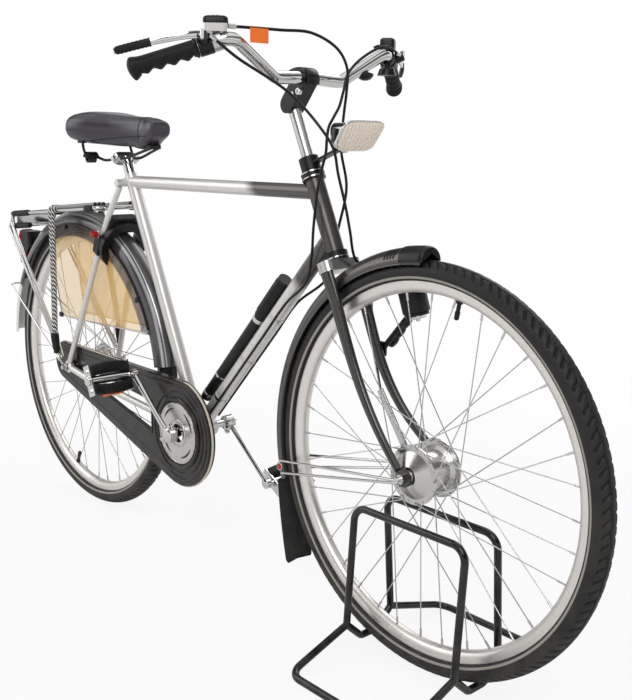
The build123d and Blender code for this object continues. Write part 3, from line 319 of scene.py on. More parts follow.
def rounded(half_a: float, half_b: float, power: float, sides: int) -> Array:
    """Oblong outline with soft corners: each side is a power curve of the circle.

    Args:
        half_a: Half width.
        half_b: Half height.
        power: Exponent from 2, an oval, upwards to square.
        sides: Number of points.

    Returns:
        Rows of two offsets.
    """
    c = ring(sides)
    soft = np.sign(c) * np.abs(c) ** (2.0 / power)
    return soft * (half_a, half_b)


def stack(rows: Rows, outline: Array, origin: Array, a: Array, b: Array, out: Array) -> Array:
    """Closed form from scaled copies of an outline: origin + scale times the outline + height along out.

    Args:
        rows: Scale and height in mm of each copy.
        outline: Rows of two offsets in mm.
        origin: Where the height is nought, in metres.
        a: Direction of the first offset.
        b: Direction of the second offset.
        out: Direction of the height.

    Returns:
        Grid of points.
    """
    table = np.asarray(rows, float)
    flat = outline[:, :1] * a + outline[:, 1:] * b
    return origin + MM * (table[:, 0, None, None] * flat[None] + table[:, 1, None, None] * out)


def button(radius: float, height: float, edge: float = 0.25) -> Array:
    """Profile of a round button with a rounded edge, as rows of height and radius in mm."""
    a = np.linspace(0.0, pi / 2, 6)
    e = edge * min(radius, height)
    top = np.stack((height - e + e * np.sin(a), radius - e + e * np.cos(a)), axis=1)
    return np.concatenate((((0.0, radius),), top, ((height, 0.01),)))


def belt(c1: Pair, r1: float, c2: Pair, r2: float, count: int, y: float) -> Array:
    """Loop round two circles: their outer arcs, joined by the two outer tangents.

    Args:
        c1: Centre of the front circle in mm.
        r1: Its radius.
        c2: Centre of the rear circle.
        r2: Its radius.
        count: Points on each arc and on each straight run.
        y: Place of the upright plane.

    Returns:
        Points in metres, once round.
    """
    run = np.subtract(c1, c2)
    far = float(np.hypot(*run))
    axis = float(np.arctan2(run[1], run[0]))
    open_by = float(np.arccos((r1 - r2) / far))
    a1 = axis + np.linspace(-open_by, open_by, count)
    a2 = axis + np.linspace(open_by, 2 * pi - open_by, count)
    first = np.stack((c1[0] + r1 * np.cos(a1), c1[1] + r1 * np.sin(a1)), axis=1)
    second = np.stack((c2[0] + r2 * np.cos(a2), c2[1] + r2 * np.sin(a2)), axis=1)
    share = np.linspace(0.0, 1.0, count + 2)[1:-1, None]
    upper = first[-1] + share * (second[0] - first[-1])
    lower = second[-1] + share * (first[0] - second[-1])
    loop = np.concatenate((first, upper, second, lower))
    return place(loop[:, 0], y, loop[:, 1])


class Ends(Enum):
    """How the first and last rows of a grid are finished."""

    OPEN = "open"
    CAPPED = "capped"
    JOINED = "joined"


class Shell:
    """Grid surfaces gathered into one mesh object."""

    def __init__(self, name: str) -> None:
        """Start an empty shell with the name of its object."""
        self.name = name
        self.points: list[Array] = []
        self.faces: list[list[int]] = []
        self.uv: list[Array] = []
        self.parts: list[Array] = []
        self.count = 0

    def grid(self, points: Array, ends: Ends = Ends.CAPPED, part: int = 0) -> "Shell":
        """Add a grid of quads, closed round the columns; its UV runs along the rows and round them in metres.

        Args:
            points: Rows along, columns round, and the coordinates.
            ends: How the first and last rows are finished.
            part: Index of the finish that it takes.

        Returns:
            The shell itself.
        """
        n, m = points.shape[:2]
        index = self.count + np.arange(n * m).reshape(n, m)
        along = travel(points.mean(1))
        across = travel(np.concatenate((points[n // 2], points[n // 2, :1])))
        if ends is Ends.JOINED:
            index = np.concatenate((index, index[:1]))
            along = np.append(along, along[-1] + np.linalg.norm(points[0].mean(0) - points[-1].mean(0)))
        index = np.concatenate((index, index[:, :1]), axis=1)
        quads = cells(index).reshape(-1, 4)
        corner = np.stack(np.meshgrid(along, across, indexing="ij"), axis=-1)
        self.points.append(points.reshape(-1, 3))
        self.count += n * m
        self.faces += quads.tolist()
        self.uv.append(cells(corner).reshape(-1, 2))
        self.parts.append(np.full(len(quads), part))
        if ends is Ends.CAPPED:
            for row, flip in ((0, 1), (-1, -1)):
                rim = index[row][::flip]
                fan = np.stack((np.full(len(rim) - 1, self.count), rim[:-1], rim[1:]), axis=1)
                self.points.append(points[row].mean(0)[None])
                self.count += 1
                self.faces += fan.tolist()
                self.uv.append(np.tile((along[row], 0.0), (3 * len(fan), 1)))
                self.parts.append(np.full(len(fan), part))
        return self

    def hoop(self, path: Array, radius: float, sides: int = 10) -> "Shell":
        """Add a round tube of a radius in mm along a closed path."""
        return self.grid(tube(path, radius, sides, True), Ends.JOINED)

    def build(self, body: str, slot: str, finishes: list[Material], *nodes: str,
              crease: float = 40.0) -> Piece:
        """Make the object, dress it and hang it on its body.

        Args:
            body: CAD body that it moves with.
            slot: Material slot of the record; not used.
            finishes: Materials by part index.
            nodes: CAD nodes that it stands for.
            crease: Angle in degrees above which an edge is sharp.

        Returns:
            The finished object.
        """
        piece = self.make(finishes, crease)
        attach(piece, body)
        self.enter(piece, slot, nodes)
        return piece

    def bend(self, bodies: tuple[str, str], ends: tuple[Array, Array], slot: str, finishes: list[Material],
             *nodes: str) -> Piece:
        """Make an object that crosses a joint; its place is baked into the mesh and it hangs on neither body.

        Args:
            bodies: The two CAD bodies; not used.
            ends: Where the bend starts and ends; not used.
            slot: Material slot of the record; not used.
            finishes: Materials by part index.
            nodes: CAD nodes that it stands for.

        Returns:
            The finished object.
        """
        piece = self.make(finishes, 40.0)
        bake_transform(piece)
        self.enter(piece, slot, nodes)
        return piece

    @staticmethod
    def enter(piece: Piece, slot: str, nodes: tuple[str, ...]) -> None:
        """Hide the CAD nodes that a piece stands for, and log its face count."""
        if nodes:
            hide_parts(*nodes)
        log.info("%s: %d faces", piece.name, len(piece.data.polygons))

    def make(self, finishes: list[Material], crease: float) -> Piece:
        """Make the mesh object with its UV map and finishes, faces outwards.

        Args:
            finishes: Materials by part index.
            crease: Angle in degrees above which an edge is sharp.

        Returns:
            The object, not yet on a body.
        """
        mesh = bpy.data.meshes.new(self.name)
        mesh.from_pydata(np.concatenate(self.points).tolist(), [], self.faces)
        mesh.uv_layers.new(name="UVMap").data.foreach_set("uv", np.concatenate(self.uv).ravel().astype(np.float32))
        mesh.polygons.foreach_set("material_index", np.concatenate(self.parts).astype(np.int32))
        for finish in finishes:
            mesh.materials.append(finish)
        work = bmesh.new()
        work.from_mesh(mesh)
        bmesh.ops.recalc_face_normals(work, faces=work.faces)
        work.to_mesh(mesh)
        work.free()
        mesh.polygons.foreach_set("use_smooth", np.ones(len(mesh.polygons), bool))
        mesh.set_sharp_from_angle(angle=radians(crease))
        piece = bpy.data.objects.new(self.name, mesh)
        bpy.context.scene.collection.objects.link(piece)
        return piece


# Finishes


class Nodes:
    """Adds and links the nodes of one shader or group."""

    def __init__(self, tree: bpy.types.NodeTree) -> None:
        """Work on a node tree."""
        self.tree = tree

    def put(self, socket: Socket, value: object) -> None:
        """Set a socket to a value, or link it where the value is a socket."""
        if isinstance(value, bpy.types.NodeSocket):
            self.tree.links.new(value, socket)
        else:
            socket.default_value = value

    def add(self, kind: str, inputs: dict[str | int, object] | None = None, **settings: object) -> bpy.types.Node:
        """Add a node.

        Args:
            kind: Node type without its ShaderNode prefix.
            inputs: Values or sockets for its inputs.
            settings: Other properties of the node.

        Returns:
            The node.
        """
        node = self.tree.nodes.new("ShaderNode" + kind)
        for key, value in settings.items():
            setattr(node, key, value)
        for key, value in (inputs or {}).items():
            self.put(node.inputs[key], value)
        return node

    def math(self, operation: str, *values: object) -> Socket:
        """Result of a Math node on values or sockets."""
        return self.add("Math", dict(enumerate(values)), operation=operation).outputs[0]

    def mix(self, share: object, low: object, high: object) -> Socket:
        """Colour between low and high by a share."""
        return self.add("Mix", {0: share, 6: low, 7: high}, data_type="RGBA").outputs[2]

    def span(self, value: Socket, low: float, high: float, first: float = 0.0, last: float = 1.0) -> Socket:
        """Value from low to high, eased onto first to last."""
        inputs = {"Value": value, "From Min": low, "From Max": high, "To Min": first, "To Max": last}
        return self.add("MapRange", inputs, interpolation_type="SMOOTHSTEP").outputs[0]

    def objects(self) -> Socket:
        """Object coordinates."""
        return self.add("TexCoord").outputs["Object"]

    def maps(self) -> Socket:
        """Coordinates of the piece's own UV map."""
        return self.add("UVMap", uv_map="UVMap").outputs[0]

    def axes(self, vector: Socket) -> tuple[Socket, Socket, Socket]:
        """The three parts of a vector."""
        split = self.add("SeparateXYZ", {0: vector})
        return split.outputs[0], split.outputs[1], split.outputs[2]

    def group(self, tree: bpy.types.NodeTree, **inputs: object) -> Socket:
        """Result of a shared group with its own values."""
        return self.add("Group", inputs, node_tree=tree).outputs[0]

    def clamp(self, value: Socket) -> Socket:
        """Value held between 0 and 1."""
        return self.add("Clamp", {0: value}).outputs[0]

    def far(self, a: Socket, b: Socket) -> Socket:
        """Length of a step with two parts: the root of the sum of their squares."""
        return self.math("SQRT", self.math("ADD", self.math("MULTIPLY", a, a), self.math("MULTIPLY", b, b)))

    def band(self, value: Socket, low: float, high: float) -> Socket:
        """One where a value lies between two edges, nought elsewhere."""
        return self.math("COMPARE", value, (low + high) / 2, (high - low) / 2)


class Effects:
    """Shared surface effects as shader node groups."""

    def __init__(self) -> None:
        """Build the groups once."""
        self.grain = self._grain()
        self.scuffs = self._scuffs()
        self.dust = self._dust()

    @staticmethod
    def _start(name: str, inputs: dict[str, float]) -> tuple[Nodes, bpy.types.Node, bpy.types.Node]:
        """Open a group with a vector input, named numbers and one mask output.

        Args:
            name: Name of the group.
            inputs: Number inputs with their defaults.

        Returns:
            Its nodes, its input node and its output node.
        """
        tree = bpy.data.node_groups.new(name, "ShaderNodeTree")
        tree.interface.new_socket("Vector", in_out="INPUT", socket_type="NodeSocketVector")
        for key, value in inputs.items():
            tree.interface.new_socket(key, in_out="INPUT", socket_type="NodeSocketFloat").default_value = value
        tree.interface.new_socket("Mask", in_out="OUTPUT", socket_type="NodeSocketFloat")
        return Nodes(tree), tree.nodes.new("NodeGroupInput"), tree.nodes.new("NodeGroupOutput")

    def _grain(self) -> bpy.types.NodeTree:
        """Fine even mottling: noise of one size, with its contrast raised."""
        n, start, end = self._start("Fine grain", {"Scale": 800.0, "Contrast": 1.0})
        given = start.outputs
        noise = n.add("TexNoise", {"Vector": given["Vector"], "Scale": given["Scale"], "Detail": 3.0})
        middle = n.math("SUBTRACT", noise.outputs[0], 0.5)
        n.put(end.inputs["Mask"], n.clamp(n.math("MULTIPLY_ADD", middle, given["Contrast"], 0.5)))
        return n.tree

    def _scuffs(self) -> bpy.types.NodeTree:
        """Hairline handling marks: noise drawn out along one way, kept where it is strongest."""
        n, start, end = self._start("Handling scuffs", {"Scale": 60.0, "Amount": 0.3})
        given = start.outputs
        stretch = {"Vector": given["Vector"], "Rotation": (0.4, 0.7, 0.3), "Scale": (1.0, 14.0, 14.0)}
        turned = n.add("Mapping", stretch).outputs[0]
        lines = n.add("TexNoise", {"Vector": turned, "Scale": given["Scale"], "Detail": 4.0})
        patches = n.add("TexNoise", {"Vector": given["Vector"], "Scale": 9.0, "Detail": 2.0})
        mark = n.math("MULTIPLY", n.span(lines.outputs[0], 0.56, 0.72), n.span(patches.outputs[0], 0.4, 0.65))
        n.put(end.inputs["Mask"], n.math("MULTIPLY", mark, given["Amount"]))
        return n.tree

    def _dust(self) -> bpy.types.NodeTree:
        """Road dust: a cloudy film that is thicker low down and fades out at a height."""
        n, start, end = self._start("Road dust", {"Height": 0.5, "Amount": 0.3})
        given = start.outputs
        height = n.axes(given["Vector"])[2]
        low = n.math("SUBTRACT", 1.0, n.clamp(n.math("DIVIDE", height, given["Height"])))
        cloud = n.add("TexNoise", {"Vector": given["Vector"], "Scale": 35.0, "Detail": 5.0})
        film = n.math("MULTIPLY", low, n.span(cloud.outputs[0], 0.3, 0.7))
        n.put(end.inputs["Mask"], n.math("MULTIPLY", film, given["Amount"]))
        return n.tree


DUST = shade(142, 136, 126)
DUST_TOP = 0.6
DUST_ROUGH = 0.5
SCUFF_SCALE = 60.0
SCUFF_ROUGH = 0.35
GRAIN_CONTRAST = 1.6
GRAIN_ROUGH = 0.08
COAT_ROUGH = 0.06


@dataclass(frozen=True)
class Finish:
    """Plain finish that the others build on: one colour with grain, scuffs and dust."""

    name: str
    colour: Colour
    tint: Colour
    rough: float = 0.4
    metal: float = 0.0
    coat: float = 0.0
    grain: float = 900.0
    bump: float = 0.1
    depth: float = 0.0001
    scuff: float = 0.2
    dust: float = 0.1
    shine: float = 0.5

    def colours(self, n: Nodes, mask: Socket) -> Socket:
        """Base colour before dust: the two tones mixed by the grain.

        Args:
            n: Nodes of the material.
            mask: Grain mask.

        Returns:
            A colour socket.
        """
        return n.mix(mask, self.colour, self.tint)

    def vector(self, n: Nodes) -> Socket:
        """Coordinates that the grain follows."""
        return n.objects()

    def settle(self, n: Nodes, shader: bpy.types.Node) -> None:
        """Set what is particular to this finish on the shader."""

    def material(self, fx: Effects) -> Material:
        """Make the material.

        Args:
            fx: Shared effects.

        Returns:
            The material.
        """
        made = bpy.data.materials.new(self.name)
        made.use_nodes = True
        made.node_tree.nodes.clear()
        n = Nodes(made.node_tree)
        mask = n.group(fx.grain, Vector=self.vector(n), Scale=self.grain, Contrast=GRAIN_CONTRAST)
        scuffs = n.group(fx.scuffs, Vector=n.objects(), Scale=SCUFF_SCALE, Amount=self.scuff)
        dust = n.group(fx.dust, Vector=n.objects(), Height=DUST_TOP, Amount=self.dust)
        base = n.mix(dust, self.colours(n, mask), DUST)
        worn = n.math("ADD", n.math("MULTIPLY", scuffs, SCUFF_ROUGH), n.math("MULTIPLY", dust, DUST_ROUGH))
        fresh = n.math("MULTIPLY_ADD", mask, GRAIN_ROUGH, self.rough - GRAIN_ROUGH / 2)
        bump = n.add("Bump", {"Height": mask, "Strength": self.bump, "Distance": self.depth})
        shader = n.add("BsdfPrincipled", {
            "Base Color": base, "Roughness": n.clamp(n.math("ADD", fresh, worn)), "Normal": bump.outputs[0],
            "Metallic": self.metal, "Coat Weight": self.coat, "Coat Roughness": COAT_ROUGH,
            "Specular IOR Level": self.shine})
        self.settle(n, shader)
        n.add("OutputMaterial", {"Surface": shader.outputs[0]}).is_active_output = True
        return made


@dataclass(frozen=True)
class FadePaint(Finish):
    """Silver paint that runs into anthracite towards the head of the frame."""

    dark: Colour = shade(78, 75, 72)
    start: float = 0.10
    end: float = 0.14
    top: float = 0.786
    lean: float = -0.82

    def colours(self, n: Nodes, mask: Socket) -> Socket:
        """Silver mixed to dark by forward distance plus a share of the height below the top tube."""
        x, _, z = n.axes(n.objects())
        along = n.math("MULTIPLY_ADD", n.math("SUBTRACT", self.top, z), self.lean, x)
        return n.mix(n.span(along, self.start, self.end), super().colours(n, mask), self.dark)


@dataclass(frozen=True)
class GuardPaint(Finish):
    """Dark mudguard paint with two light lines along each side."""

    line: Colour = shade(176, 178, 178)
    inner: Pair = (0.0155, 0.0175)
    outer: Pair = (0.0205, 0.0245)

    def colours(self, n: Nodes, mask: Socket) -> Socket:
        """Dark paint, with the lines where the distance from the middle plane is between their edges."""
        y = n.math("ABSOLUTE", n.axes(n.objects())[1])
        base = super().colours(n, mask)
        for low, high in (self.inner, self.outer):
            base = n.mix(n.band(y, low, high), base, self.line)
        return base


@dataclass(frozen=True)
class Clear(Finish):
    """See-through plastic or glass."""

    clear: float = 0.9
    ior: float = 1.45

    def settle(self, n: Nodes, shader: bpy.types.Node) -> None:
        """Let light through."""
        shader.inputs["Transmission Weight"].default_value = self.clear
        shader.inputs["IOR"].default_value = self.ior


@dataclass(frozen=True)
class Film(Finish):
    """Thin clear sheet with a darker smoky border along its round edge, by distance from a centre."""

    solid: float = 0.34
    border: float = 0.55
    centre: Pair = (-0.5396, 0.35)
    radius: float = 0.308
    fade: float = 0.006
    smoke: Colour = shade(66, 56, 46)

    def settle(self, n: Nodes, shader: bpy.types.Node) -> None:
        """Cover by alpha, more where the radius about the centre lies past the border's edge."""
        x, _, z = n.axes(n.objects())
        far = n.far(n.math("SUBTRACT", x, self.centre[0]), n.math("SUBTRACT", z, self.centre[1]))
        edge = n.span(far, self.radius, self.radius + self.fade)
        tinted = shader.inputs["Base Color"].links[0].from_socket
        n.put(shader.inputs["Base Color"], n.mix(edge, tinted, self.smoke))
        n.put(shader.inputs["Alpha"], n.math("MULTIPLY_ADD", edge, self.border - self.solid, self.solid))


@dataclass(frozen=True)
class Wall(Finish):
    """Tyre rubber with a pale band round each sidewall, by distance from the wheel's axle, and painted shade in the
    tread grooves.
    """

    centre: float = 0.0
    band: Colour = shade(150, 146, 138)
    # Near-black colour of the painted shade in the tread grooves.
    deep: Colour = shade(5, 5, 5)
    low: float = 0.3205
    high: float = 0.3245
    crown: float = 0.33
    # Section radii over which the painted groove shade fades into the rubber.
    groove_shade_span: Pair = (0.0183, 0.0197)

    def colours(self, n: Nodes, mask: Socket) -> Socket:
        """Rubber, pale where the radius about the axle lies in the band, with painted shade, near black, down in the
        grooves of the tread.
        """
        x, y, z = n.axes(n.objects())
        radius = n.far(n.math("SUBTRACT", x, self.centre), n.math("SUBTRACT", z, AXLE_Z * MM))
        section = n.far(n.math("SUBTRACT", radius, self.crown), y)
        # Painted shade: the deep colour where the tread lies below the crown, in place of the shade in the grooves.
        rubber = n.mix(n.span(section, *self.groove_shade_span), self.deep, super().colours(n, mask))
        return n.mix(n.band(radius, self.low, self.high), rubber, self.band)


@dataclass(frozen=True)
class Webbing(Finish):
    """Woven strap with slanted black and white stripes along its own UV map."""

    light: Colour = shade(214, 214, 210)
    pitch: float = 0.010
    share: float = 0.55

    def vector(self, n: Nodes) -> Socket:
        """The grain is the weave, on the strap's own map."""
        return n.maps()

    def colours(self, n: Nodes, mask: Socket) -> Socket:
        """White stripes where the distance along plus across, over the pitch, has a fraction above the share."""
        u, v, _ = n.axes(n.maps())
        step = n.math("FRACT", n.math("DIVIDE", n.math("ADD", u, v), self.pitch))
        return n.mix(n.math("GREATER_THAN", step, self.share), super().colours(n, mask), self.light)


class Paints:
    """Every finish of the bicycle, made once."""

    def __init__(self) -> None:
        """Build the shared effects and then the materials."""
        fx = Effects()

        def make(kind: type[Finish], name: str, light: Triple, deep: Triple, *rough_metal_coat: float,
                 **more: object) -> Material:
            """Material of one kind of finish, from its two screen colours and its settings."""
            return kind(name, shade(*light), shade(*deep), *rough_metal_coat, **more).material(fx)

        fine = {"grain": 2600, "bump": 0.05}
        self.silver = make(FadePaint, "silver fading to anthracite", (222, 220, 216), (206, 204, 201), 0.36, 0.55, 0.5,
                           **fine)
        self.dark = make(Finish, "anthracite paint", (86, 82, 79), (70, 67, 65), 0.32, 0.75, 0.4, **fine)
        self.guard = make(GuardPaint, "mudguard paint with lines", (84, 80, 83), (76, 73, 75), 0.26, 0.55, 0.4, **fine)
        self.chrome = make(Finish, "chrome plate", (212, 211, 210), (206, 205, 204), 0.1, 1.0, grain=300, bump=0.015,
                           scuff=0.35)
        self.alloy = make(Finish, "polished alloy", (204, 202, 200), (198, 196, 194), 0.24, 1.0, grain=700, bump=0.03,
                          scuff=0.3)
        self.rim = make(Finish, "rim alloy", (232, 228, 224), (222, 218, 214), 0.34, 1.0, grain=300, bump=0.0,
                        scuff=0.05)
        self.wire = make(Finish, "drawn spoke wire", (208, 208, 208), (188, 188, 189), 0.22, 1.0)
        # The tyre finishes paint shade into the tread grooves.
        self.tyres = {end: make(Wall, f"{end} tyre rubber", (36, 35, 35), (25, 25, 25), 0.5, grain=1200, bump=0.3,
                                dust=0.12, shine=0.3, centre=(axle_x - ORIGIN_X) * MM)
                      for end, axle_x in (("front", WHEELBASE), ("rear", 0.0))}
        self.rubber = make(Finish, "black rubber", (19, 19, 20), (13, 13, 14), 0.5, grain=1500, bump=0.3, shine=0.25)
        self.plastic = make(Finish, "black moulded plastic", (17, 17, 18), (12, 12, 13), 0.34, grain=1800, bump=0.25,
                            shine=0.3)
        self.case = make(Finish, "gloss case plastic", (27, 24, 22), (20, 18, 17), 0.24, coat=0.15, grain=400,
                         bump=0.05, scuff=0.4, shine=0.3)
        self.white = make(Finish, "white guard end", (232, 232, 228), (220, 220, 216), 0.35)
        self.amber = make(Film, "amber film", (247, 212, 138), (240, 200, 120), 0.25, grain=120, bump=0.2,
                          depth=0.0006)
        self.red = make(Clear, "red lens", (196, 18, 16), (176, 12, 12), 0.15, clear=0.35)
        self.glass = make(Clear, "ribbed lamp glass", (254, 240, 224), (253, 238, 220), 0.12, clear=0.15, grain=90,
                          bump=0.0, scuff=0.0)
        self.webbing = make(Webbing, "striped webbing", (16, 16, 17), (11, 11, 12), 0.7, grain=2200, bump=0.5)
        self.cover = make(Finish, "saddle cover", (58, 54, 61), (53, 49, 56), 0.27, grain=1400, bump=0.25,
                          depth=0.0002, scuff=0.1)
        self.spring = make(Finish, "black spring steel", (18, 18, 19), (12, 12, 13), 0.3, 0.3)
        self.fork = make(Finish, "dark fork lacquer", (70, 69, 66), (58, 58, 56), 0.22, 0.75, 0.5, grain=2600,
                         bump=0.04)
        self.cable = make(Finish, "cable sheath", (17, 17, 18), (12, 12, 13), 0.35, shine=0.25)
        self.cream = make(Finish, "cream seam", (214, 206, 190), (200, 190, 172), 0.5)
        self.orange = make(Finish, "orange sheet", (250, 122, 28), (244, 112, 22), 0.45, grain=500)
        self.stand = make(Finish, "gloss black stand paint", (6, 6, 7), (4, 4, 4), 0.14, coat=0.3, grain=500,
                          bump=0.03, shine=0.3)


class Dressing:
    """Puts finishes on the CAD nodes that stay as they are."""

    def __init__(self, nodes: dict[str, Piece]) -> None:
        """Keep the nodes of the frame."""
        self.nodes = nodes

    def dress(self, finish: Material, *names: str) -> None:
        """Give nodes a finish.

        Args:
            finish: Material to use.
            names: Names of the nodes.
        """
        for name in names:
            slots = self.nodes[name].data.materials
            slots.clear()
            slots.append(finish)
            log.info("%s: %s", name, finish.name)


@dataclass
class Wheel:
    """One wheel: a tyre with its tread over the CAD tyre, a valve, and finishes for the rest."""

    name: str
    axle_x: float
    valve_deg: float = 250.0
    radius: float = 350.0
    half: float = 20.0
    rim_radius: float = 317.0
    bead: float = 10.3
    bead_lip: float = 0.4
    bead_drop: float = 7.0
    tread_depth: float = 2.4
    tread_edge: float = radians(58)
    line_at: float = 0.22
    line_zig: float = 0.24
    line_w: float = 0.06
    bar_from: float = 0.36
    bar_lean: float = 0.9
    bar_w: float = 0.17
    pitch_count: int = 120
    steps: int = 1440
    valve_rows: Rows = ((0, 5.5), (3, 5.5), (3.2, 3.6), (16, 3.4), (16.2, 4.4), (28, 4.2), (30, 2.6), (30.2, 0.1))

    def tread(self, angle: Array, lean: Array) -> Array:
        """Depth of the tread: chevron bars and a zigzag line each side of the middle, as steep humps.

        Args:
            angle: Turn round the axle, from 0 to 1.
            lean: Angle round the tyre's section from the crown.

        Returns:
            How far the surface lies under the outer form, in mm.
        """
        phase = angle * self.pitch_count
        side = np.abs(lean) / self.tread_edge
        zig = np.abs((phase * 0.5) % 1.0 - 0.5) * self.line_zig
        line = np.exp(-(((side - self.line_at - zig) / self.line_w) ** 4))
        cut = (phase + side * self.bar_lean + np.where(lean > 0, 0.5, 0.0)) % 1.0
        bars = np.exp(-(((cut - 0.5) / self.bar_w) ** 4)) * (side > self.bar_from) * (side < 1.0)
        return self.tread_depth * np.clip(line + bars, 0.0, 1.0)

    def tyre(self, paints: Paints) -> None:
        """Tyre: circle of the half width about the crown circle, closed by the beads, less the tread."""
        wall = np.radians(np.linspace(60, 130, 8))
        lean = np.concatenate((-wall[::-1], np.radians(np.linspace(-57, 57, 35)), wall))
        share = np.linspace(0.0, 1.0, self.steps, endpoint=False)[:, None]
        depth = self.tread(share, lean[None])
        y = (self.half - depth) * np.sin(lean)
        r = self.radius - self.half + (self.half - depth) * np.cos(lean)
        edge_y = self.bead * np.array((1, 1, -1, -1))
        edge_r = self.rim_radius + np.array((self.bead_lip, -self.bead_drop, -self.bead_drop, self.bead_lip))
        y, r = (np.concatenate((skin, np.broadcast_to(edge, (self.steps, 4))), axis=1)
                for skin, edge in ((y, edge_y), (r, edge_r)))
        points = place(self.axle_x + r * np.cos(2 * pi * share), y, AXLE_Z + r * np.sin(2 * pi * share))
        Shell(f"{self.name}_tyre_tread").grid(points, Ends.JOINED).build(
            f"{self.name}_wheel", "tyre", [paints.tyres[self.name]], f"{self.name}_tyre", crease=70)

    def valve(self, paints: Paints) -> None:
        """Valve: a turned stem that stands in from the rim, with a locknut and a cap."""
        a = radians(self.valve_deg)
        inward = vec(-cos(a), 0.0, -sin(a))
        foot = place(self.axle_x, 0, AXLE_Z) - inward * (self.rim_radius - 20.5) * MM
        Shell(f"{self.name}_valve").grid(turn(self.valve_rows, foot, inward, 16)).build(
            f"{self.name}_wheel", "black_plastic", [paints.plastic])

    def build(self, paints: Paints, dressing: Dressing) -> None:
        """Make the tyre and valve, and dress the rim, hub and spokes."""
        self.tyre(paints)
        self.valve(paints)
        dressing.dress(paints.rim, f"{self.name}_rim")
        dressing.dress(paints.alloy, f"{self.name}_hub")
        dressing.dress(paints.wire, f"{self.name}_spokes")


@dataclass
class FrameTubes:
    """Frame of the bicycle with its pump and headset."""

    down_foot: float = 405.0
    pump_offset: float = 31.5
    pump_grip: Pair = (345.0, 450.0)
    grip_r: float = 14.7
    grip_inset: float = 9.0
    ridge_high: float = 0.6
    ridge_pitch: float = 6.0
    collar_r: Pair = (12.2, 13.2)
    collars: Rows = ((84.0, 9.0), (150.0, 5.0), (330.0, 10.0))
    cup_places: Triple = (366.0, 516.0, 525.4)
    cup_rows: Rows = ((-1.4, 20.6), (-1.0, 21.9), (1.0, 21.9), (1.4, 20.6))

    def along(self, s: Number, up: Number = 0.0, y: Number = 0.0) -> Array:
        """Point s mm up the down tube from the bottom bracket, up mm square to it and y to the left."""
        foot = place(BB_X, 0, BB_Z)
        run = unit(head(self.down_foot) - foot)
        square = vec(-run[2], 0.0, run[0])
        s, up, y = np.broadcast_arrays(np.asarray(s, float), np.asarray(up, float), np.asarray(y, float))
        return foot + MM * (s[..., None] * run + up[..., None] * square + y[..., None] * LEFT)

    def pump_rings(self, paints: Paints) -> None:
        """Grip of the pump, a sleeve with a sine of fine ridges, and bright collars along its barrel."""
        run = unit(self.along(1.0) - self.along(0.0))
        low, high = self.pump_grip
        s = np.linspace(0.0, high - low - 2 * self.grip_inset, 130)
        r = self.grip_r + self.ridge_high * np.sin(2 * pi * s / self.ridge_pitch)
        foot = self.along(low + self.grip_inset, self.pump_offset)
        Shell("pump_grip_rings").grid(turn(np.stack((s, r), axis=1), foot, run, 28)).build(
            "frame", "black_plastic", [paints.plastic])
        shell = Shell("pump_collars")
        inner, outer = self.collar_r
        for at, length in self.collars:
            rows = ((0, inner), (0.4, outer), (length - 0.4, outer), (length, inner))
            shell.grid(turn(rows, self.along(at, self.pump_offset), run, 28), Ends.OPEN)
        shell.build("frame", "bright_steel", [paints.chrome])

    def headset_rings(self, paints: Paints) -> None:
        """Bright rings round both headset cups, one profile turned about the steering axis."""
        up = unit(head(1.0) - head(0.0))
        shell = Shell("headset_rings")
        for t in self.cup_places:
            shell.grid(turn(self.cup_rows, head(t), up, 40), Ends.OPEN)
        shell.build("frame", "bright_steel", [paints.chrome])

    def build(self, paints: Paints, dressing: Dressing) -> None:
        """Dress the tubes and their fittings, and add the pump's and headset's rings."""
        dressing.dress(paints.silver, "top_tube", "down_tube", "seat_tube", "bottom_bracket_shell", "chain_stays",
                       "seat_stays")
        dressing.dress(paints.dark, "head_tube")
        dressing.dress(paints.plastic, "headset_cups", "frame_pump")
        dressing.dress(paints.chrome, "seat_post", "rear_axle")
        self.pump_rings(paints)
        self.headset_rings(paints)


